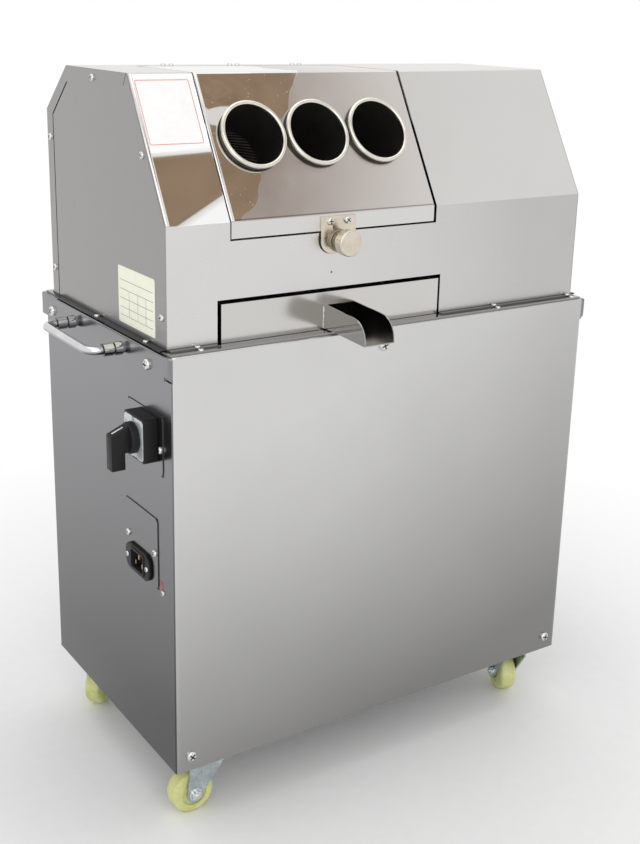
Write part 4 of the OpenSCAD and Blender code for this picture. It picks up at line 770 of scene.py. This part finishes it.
def border(name, width, height, corner, line):
    piece = film(name, width, height, corner)
    bpy.ops.object.mode_set(mode="EDIT")
    bpy.ops.mesh.select_mode(type="FACE")
    bpy.ops.mesh.select_all(action="DESELECT")
    bm = bmesh.from_edit_mesh(piece.data)
    for face in bm.faces:
        face.select = abs(face.normal.z) > 0.9
    bmesh.update_edit_mesh(piece.data)
    bpy.ops.mesh.inset(thickness=line)
    bpy.ops.mesh.bridge_edge_loops()
    bpy.ops.object.mode_set(mode="OBJECT")
    return piece


def strip(name, width, height, thick):
    bpy.ops.object.select_all(action="DESELECT")
    bpy.ops.mesh.primitive_cube_add(size=1.0)
    piece = named(name)
    piece.scale = (width, height, thick)
    bake_place(piece)
    apply_modifier(piece, "BEVEL", width=min(width, height) * 0.2, segments=2, limit_method="ANGLE")
    return piece


label_white = mottled("label_white", 0.0, (0.9, 0.89, 0.88), (0.94, 0.93, 0.92), 0.3, 0.4, 40.0, 0.01)
label_red = mottled("label_red", 0.0, (0.62, 0.1, 0.07), (0.72, 0.16, 0.12), 0.3, 0.4, 80.0, 0.01)
plate_pale = mottled("plate_pale", 0.0, (0.84, 0.85, 0.68), (0.9, 0.91, 0.76), 0.3, 0.42, 60.0, 0.01)
print_dark = mottled("print_dark", 0.0, (0.03, 0.03, 0.03), (0.06, 0.06, 0.06), 0.4, 0.5, 200.0, 0.01)
print_white = mottled("print_white", 0.0, (0.74, 0.74, 0.72), (0.84, 0.84, 0.82), 0.35, 0.45, 200.0, 0.01)


# %% Blank label on the slope
slope_out = Vector((0, -math.sin(slope_tilt), math.cos(slope_tilt)))
slope_up = Vector((0, math.cos(slope_tilt), math.sin(slope_tilt)))
label_w, label_h = 0.066, 0.076
label_mid = Vector((-0.2405, -0.150, slope_foot_z)) + slope_up * 0.121
slope_frame = facing(slope_out)
skin = 0.00005
slope_label = film("slope_label", label_w, label_h, 0.003)
bake_place(slope_label, at(label_mid + slope_out * skin, slope_frame))
settle(slope_label, "cabinet", label_white)
slope_border = border("slope_label_border", label_w - 0.006, label_h - 0.006, 0.002, 0.0006)
bake_place(slope_border, at(label_mid + slope_out * (skin + film_t * 0.6), slope_frame))
settle(slope_border, "cabinet", label_red)
print("slope label", [round(v, 3) for v in label_mid])

# %% Ruled data plate on the left end
wall_x = -0.277
plate_w, plate_h = 0.088, 0.061
plate_mid = Vector((wall_x - skin, -0.082, 0.5875))
left_frame = facing((-1, 0, 0))
data_plate = film("data_plate", plate_w, plate_h, 0.0025)
bake_place(data_plate, at(plate_mid, left_frame))
settle(data_plate, "cabinet", plate_pale)
rule_t, rule_w = 0.00012, 0.00045
row_shares = (0.26, 0.1, -0.06, -0.22, -0.36)
rules = [strip("rule", plate_w * 0.9, rule_w, rule_t) for share in row_shares]
for rule, share in zip(rules, row_shares):
    rule.data.transform(Matrix.Translation((0, share * plate_h, 0)))
column_shares = (-0.2, 0.04, 0.26)
for share in column_shares:
    column = strip("rule", rule_w, plate_h * 0.46, rule_t)
    column.data.transform(Matrix.Translation((share * plate_w, -0.13 * plate_h, 0)))
    rules.append(column)
plate_rules = join(rules, "data_plate_rules")
bake_place(plate_rules, at(plate_mid + Vector((-film_t - rule_t * 0.3, 0, 0)), left_frame))
settle(plate_rules, "cabinet", print_dark)
print("data plate", [round(v, 3) for v in plate_mid])

# %% [markdown]
# ## Hems on the slope
# The free edges of thin sheet are folded back on themselves, so that they cannot cut. The
# fold shows as a slim rounded band that catches the light along the lid's left edge and
# the hood's. Each is a cylinder pressed flat, with its ends rounded, laid on the slope.

# %% Hems
hem_w, hem_rise, hem_inset = 0.0042, 0.0007, 0.001
slope_len = (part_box("hood_shell")[1].z - slope_foot_z) / math.sin(slope_tilt)


def hem(name, left_x, body, finish):
    bpy.ops.object.select_all(action="DESELECT")
    bpy.ops.mesh.primitive_cylinder_add(vertices=24, radius=hem_w / 2, depth=slope_len - 2 * hem_inset)
    piece = named(name)
    piece.scale = (1.0, 2 * hem_rise / hem_w, 1.0)
    bake_place(piece)
    apply_modifier(piece, "BEVEL", width=hem_rise * 0.5, segments=3, limit_method="ANGLE", angle_limit=1.0)
    middle = Vector((left_x + hem_w / 2, -0.150, slope_foot_z)) + slope_up * slope_len / 2
    turn = Matrix((slope_out.cross(slope_up), slope_out, slope_up)).transposed()
    bake_place(piece, at(middle, turn))
    return settle(piece, body, finish)


hem_steel = mottled("hem_steel", 1.0, (0.7, 0.69, 0.68), (0.8, 0.79, 0.78), 0.1, 0.2, 60.0, 0.02)
hems = (hem("lid_hem", lid_lo.x, "lid", hem_steel), hem("hood_hem", hood_lo.x, "cabinet", hem_steel))
print("hems", [len(piece.data.polygons) for piece in hems])

# %% [markdown]
# ## Painted shadows at the latch and the plates
# A dark film behind the latch bracket peeps out at its left: it is a painted shadow under the
# bracket. A dark hairline around each of the two cover plates on the left side is a painted
# shadow gap. Both are thin films: the one behind the bracket a rounded plate, bored for the pin
# of the latch, each hairline a border.

# %% Painted shadow behind the latch and around the plates
bracket_lo, bracket_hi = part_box("latch_bracket")
gap_shadow_dark = mottled("gap_shadow_dark", 0.0, (0.012, 0.012, 0.012), (0.025, 0.025, 0.025), 0.6, 0.8, 200.0, 0.02)
# Painted shadow: a dark film behind the latch bracket.
bracket_shadow = film("latch_shadow_film", bracket_hi.x - bracket_lo.x, bracket_hi.z - bracket_lo.z - 0.006, 0.016)
bracket_shadow_mid = Vector(((bracket_lo.x + bracket_hi.x) / 2 - 0.0022, bracket_hi.y - skin, bracket_lo.z + 0.0162))
bake_place(bracket_shadow, at(bracket_shadow_mid, facing((0, -1, 0))))
pin_lo, pin_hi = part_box("latch_pin")
bpy.ops.object.select_all(action="DESELECT")
bpy.ops.mesh.primitive_cylinder_add(vertices=48, radius=(pin_hi.x - pin_lo.x) / 2 + 0.001, depth=0.02,
                                    location=((pin_lo.x + pin_hi.x) / 2, bracket_shadow_mid.y,
                                              (pin_lo.z + pin_hi.z) / 2),
                                    rotation=(math.pi / 2, 0, 0))
bore = named("shadow_film_bore")
apply_modifier(bracket_shadow, "BOOLEAN", object=bore, operation="DIFFERENCE", solver="EXACT")
bpy.data.objects.remove(bore)
settle(bracket_shadow, "lid", gap_shadow_dark)
for count, points in enumerate(islands("cover_plates")):
    low = Vector([min(p[axis] for p in points) for axis in range(3)])
    high = Vector([max(p[axis] for p in points) for axis in range(3)])
    # Painted shadow: a dark hairline around each cover plate.
    plate_shadow_line = border(f"plate_gap_shadow_{count}", high.y - low.y + 0.0012, high.z - low.z + 0.0012, 0.001, 0.0011)
    middle = Vector((high.x - skin, (low.y + high.y) / 2, (low.z + high.z) / 2))
    bake_place(plate_shadow_line, at(middle, left_frame))
    settle(plate_shadow_line, "cabinet", gap_shadow_dark)
    print(plate_shadow_line.name, [round(v, 3) for v in middle])
print("shim at", [round(v, 4) for v in bracket_shadow_mid])

# %% [markdown]
# ## Marks on the switch
# The rotary switch has a light face with a printed ring for off, a bar for on and a small
# index dash, and the grip carries a white line that points at the position. Each is a
# strip or a spun ring a tenth of a millimetre thick, and the line turns with the knob.

# %% Switch marks
face_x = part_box("switch_face")[0].x
face_lo, face_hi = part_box("switch_face")
switch_mid = Vector((face_x, (face_lo.y + face_hi.y) / 2, (face_lo.z + face_hi.z) / 2))
mark_t = 0.00015


def ring(name, outer, inner, thick):
    bpy.ops.object.select_all(action="DESELECT")
    bpy.ops.mesh.primitive_circle_add(vertices=32, radius=outer, fill_type="NGON")
    piece = named(name)
    bpy.ops.object.mode_set(mode="EDIT")
    bpy.ops.mesh.select_mode(type="FACE")
    bpy.ops.mesh.select_all(action="SELECT")
    bpy.ops.mesh.inset(thickness=outer - inner)
    bpy.ops.mesh.delete(type="FACE")
    bpy.ops.object.mode_set(mode="OBJECT")
    apply_modifier(piece, "SOLIDIFY", thickness=thick, offset=1.0)
    return piece


marks = [ring("mark", 0.0024, 0.0016, mark_t), strip("mark", 0.0009, 0.005, mark_t),
         strip("mark", 0.010, 0.0009, mark_t)]
mark_spots = ((0.0, 0.0205, 0.0), (-0.0178, 0.0125, 0.0), (0.004, -0.0215, 0.0))
for mark, spot in zip(marks, mark_spots):
    mark.data.transform(Matrix.Translation(spot))
switch_marks = join(marks, "switch_marks")
bake_place(switch_marks, at(switch_mid + Vector((-skin, 0, 0)), left_frame))
settle(switch_marks, "cabinet", print_dark)
print("switch face at", [round(v, 4) for v in switch_mid])

# %% White line on the grip
grip_gap, grip_base, grip_front = 0.0004, 0.008, 0.027
brow_low, brow_high = Vector((-grip_base, 0, 0.014)), Vector((-grip_front, 0, 0.006))
brow_way = (brow_high - brow_low).normalized()
brow_out = Vector((brow_way.z, 0, -brow_way.x))
brow_out = brow_out if brow_out.z > 0 else -brow_out
line = strip("grip_line", 0.0022, 0.0135, 0.0003)
line_mid = switch_mid + Vector((-grip_gap, 0, 0)) + (brow_low + brow_high) / 2
bake_place(line, at(line_mid + brow_out * 0.0001, facing(brow_out, brow_way)))
settle(line, "switch", print_white)
print("grip line at", [round(v, 4) for v in line_mid])

# %% [markdown]
# ## Earth mark and weld
# A red enamel flash marks the earth screw, and the spout is joined to the tray by a hand
# weld: a row of small overlapping drops, each a squashed sphere, no two quite alike.

# %% Red flash by the earth screw
earth_spot = Vector((-0.28, -0.1385, 0.2865))
flash_red = mottled("flash_red", 0.0, (0.36, 0.02, 0.02), (0.46, 0.04, 0.035), 0.35, 0.45, 80.0, 0.01)
flash = strip("earth_flash", 0.005, 0.0125, 0.0002)
lean = Matrix.Rotation(math.radians(12), 4, "Z")
bake_place(flash, at(earth_spot + Vector((-skin * 2, 0, 0)), left_frame) @ lean)
settle(flash, "cabinet", flash_red)
print("earth flash", len(flash.data.polygons))

# %% Weld bead at the spout
tray_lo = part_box("juice_tray")[0]
spout_lo, spout_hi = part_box("juice_spout")
drop_r, drop_step = 0.0013, 0.0015


def weld(name, x, z0, z1):
    drops = []
    count = int((z1 - z0) / drop_step)
    for i in range(count):
        bpy.ops.object.select_all(action="DESELECT")
        wobble = math.sin(i * 2.4) * 0.0002
        bpy.ops.mesh.primitive_uv_sphere_add(segments=12, ring_count=8, radius=drop_r,
                                             location=(x + wobble, tray_lo.y, z0 + i * drop_step))
        drop = named(name)
        drop.scale = (1.0 + 0.2 * math.sin(i * 1.7), 0.7, 0.8)
        drops.append(bake_place(drop))
    bead = join(drops, name)
    apply_modifier(bead, "REMESH", mode="VOXEL", voxel_size=0.00028)
    apply_modifier(bead, "SMOOTH", factor=0.5, iterations=3)
    return bead


weld_steel = mottled("weld_steel", 1.0, (0.5, 0.47, 0.43), (0.74, 0.72, 0.68), 0.22, 0.4, 500.0, 0.1)
for side_name, side_x in (("left", spout_lo.x - 0.0004), ("right", spout_hi.x + 0.0004)):
    bead = weld("spout_weld_" + side_name, side_x, spout_lo.z + 0.004, spout_hi.z - 0.001)
    settle(bead, "tray", weld_steel, 60)
    print(bead.name, len(bead.data.polygons))

# %% [markdown]
# ## Nuts on the castor axles
# Each wheel turns on a bolt through its fork, with a washer and a nut at both ends. The solids
# have a plain hexagon there. One nut is modelled with its washer and the rounded end of the
# bolt, then copied to the two ends of each axle. The way an axle points is read from where its
# wheel stands beside its swivel, so the nuts follow any turn of the castors.

# %% Nuts
nut_r, nut_h = 0.0064, 0.0042


def turned_slug(name, sides, radius, low, high, soften):
    """A short bar with a softened rim, between two heights."""
    bpy.ops.object.select_all(action="DESELECT")
    bpy.ops.mesh.primitive_cylinder_add(vertices=sides, radius=radius, depth=high - low,
                                        location=(0, 0, (low + high) / 2))
    piece = bake_place(named(name))
    apply_modifier(piece, "BEVEL", width=soften, segments=3, limit_method="ANGLE", angle_limit=0.9)
    return piece


nut = join([turned_slug("nut_body", 6, nut_r, -nut_h, 0.0001, 0.0006),
            turned_slug("nut_washer", 40, nut_r * 1.2, -nut_h - 0.0001, -nut_h + 0.0009, 0.0003),
            turned_slug("nut_bolt", 32, 0.0036, -nut_h, 0.0013, 0.0011)], "axle_nut")
nut_zinc = mottled("nut_zinc", 1.0, (0.62, 0.65, 0.64), (0.78, 0.8, 0.79), 0.14, 0.28, 150.0, 0.03)
for tag in ("fl", "fr", "rl", "rr"):
    wheel_lo, wheel_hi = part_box("castor_wheel_" + tag)
    hub = (wheel_lo + wheel_hi) / 2
    points = [v.co.copy() for v in nodes["castor_fork_" + tag].data.vertices]
    top = max(p.z for p in points)
    king = [p for p in points if p.z > top - 0.0001]
    swivel = sum(king, Vector()) / len(king)
    axle = Vector((swivel.y - hub.y, hub.x - swivel.x, 0)).normalized()
    ends = []
    for way in (axle, -axle):
        near_axle = [p - hub for p in points if ((p - hub) - way * (p - hub).dot(way)).length < nut_r]
        reach = max(p.dot(way) for p in near_axle)
        copy = nut.copy()
        copy.data = nut.data.copy()
        bpy.context.scene.collection.objects.link(copy)
        ends.append(bake_place(copy, at(hub + way * reach, facing(way))))
    pair = settle(join(ends, "axle_nuts_" + tag), "castor_" + tag, nut_zinc)
    print(pair.name, len(pair.data.polygons), "reach", round(reach, 4))
bpy.data.objects.remove(nut)

# %% [markdown]
# ## Studio
# A wide pale floor runs out to white, large soft lamps stand in front and above, and a
# warm card hangs high in front on the right: it is what the polished slope mirrors. The
# floor is plain where the machine stands, so it keeps the machine's shadow. The world is
# white to the camera and in reflections, and a little dimmer as a light.

# %% Floor
bpy.ops.object.select_all(action="DESELECT")
bpy.ops.mesh.primitive_plane_add(size=80.0)
floor = named("floor")
floor_paint = Finish("floor_paint", 0.0, 0.6)
fx, fy, _ = floor_paint.axes()
away = floor_paint.maths("SQRT", floor_paint.maths("ADD", floor_paint.maths("POWER", fx, 2.0),
                                                   floor_paint.maths("POWER", fy, 2.0)))
far = floor_paint.spread(away, 0.0, 1.0, 0.42, 1.0)
speckle = floor_paint.cloud(floor_paint.place(), 60.0, 3.0)
near = floor_paint.mix(floor_paint.spread(speckle, 0.0, 1.0), (0.89, 0.89, 0.89), (0.91, 0.91, 0.91))
floor_paint.colour(near)
glow = floor_paint.add("ShaderNodeEmission", Color=(1.0, 1.0, 1.0, 1.0), Strength=1.0)
floor_mix = floor_paint.add("ShaderNodeMixShader", Fac=far)
floor_paint.tree.links.new(floor_paint.shader.outputs[0], floor_mix.inputs[1])
floor_paint.tree.links.new(glow.outputs[0], floor_mix.inputs[2])
floor_paint.tree.links.new(floor_mix.outputs[0], floor_paint.tree.nodes["Material Output"].inputs["Surface"])
floor.data.materials.append(floor_paint.mat)
print("floor", [round(v, 1) for v in floor.dimensions])

# %% World
world = bpy.data.worlds.new("studio")
bpy.context.scene.world = world
world.use_nodes = True
sky = world.node_tree
sky_light = sky.nodes["Background"]
sky_light.inputs["Color"].default_value = (1.0, 1.0, 1.0, 1.0)
path = sky.nodes.new("ShaderNodeLightPath")
seen = sky.nodes.new("ShaderNodeMath")
seen.operation = "ADD"
sky.links.new(path.outputs["Is Camera Ray"], seen.inputs[0])
sky.links.new(path.outputs["Is Glossy Ray"], seen.inputs[1])
also = sky.nodes.new("ShaderNodeMath")
also.operation = "ADD"
also.use_clamp = True
sky.links.new(seen.outputs[0], also.inputs[0])
sky.links.new(path.outputs["Is Transmission Ray"], also.inputs[1])
level = sky.nodes.new("ShaderNodeMapRange")
level.inputs["To Min"].default_value = 0.8
level.inputs["To Max"].default_value = 1.0
sky.links.new(also.outputs[0], level.inputs["Value"])
sky.links.new(level.outputs["Result"], sky_light.inputs["Strength"])
print("world ready")

# %% Lamps and card


def soft_lamp(name, place, target, size, watts):
    data = bpy.data.lights.new(name, "AREA")
    data.shape, data.size, data.size_y, data.energy = "RECTANGLE", size[0], size[1], watts
    lamp = bpy.data.objects.new(name, data)
    lamp.location = place
    lamp.rotation_mode = "QUATERNION"
    lamp.rotation_quaternion = (Vector(target) - Vector(place)).to_track_quat("-Z", "Y")
    bpy.context.scene.collection.objects.link(lamp)
    return lamp


soft_lamp("key_lamp", (-1.6, -2.9, 2.6), (0, 0, 0.45), (3.8, 3.0), 25.0)
soft_lamp("front_lamp", (-1.9, -3.1, 1.1), (-0.15, -0.1, 0.7), (2.0, 1.4), 7.0)
soft_lamp("top_lamp", (0.2, 0.4, 3.2), (0, 0, 0.6), (3.4, 2.6), 18.0)


card_aim, card_reach = Vector((-0.2, -0.11, 0.75)), 3.4


def hung_card(name, azimuth, height, width, tall):
    """A card that hangs at card_reach from the polished strip, which mirrors it."""
    a, e = math.radians(azimuth), math.radians(height)
    way = Vector((math.sin(a) * math.cos(e), -math.cos(a) * math.cos(e), math.sin(e)))
    bpy.ops.object.select_all(action="DESELECT")
    bpy.ops.mesh.primitive_plane_add(size=1.0)
    piece = named(name)
    piece.scale = (width, tall, 1.0)
    bake_place(piece, at(card_aim + way * card_reach, facing(-way)))
    piece.data.materials.append(card_paint.mat)
    return piece


card_paint = mottled("card_paint", 0.0, (0.3, 0.2, 0.125), (0.42, 0.3, 0.2), 0.7, 0.9, 2.0, 0.01)
card = hung_card("warm_card", 37.8, 44.2, 1.16, 0.79)
print("card", [round(v, 2) for v in card.dimensions])

# %% [markdown]
# ## Colour management
# The picture is shown as it is, with the Standard view.

# %% Finish
scene = bpy.context.scene
scene.view_settings.view_transform = "Standard"
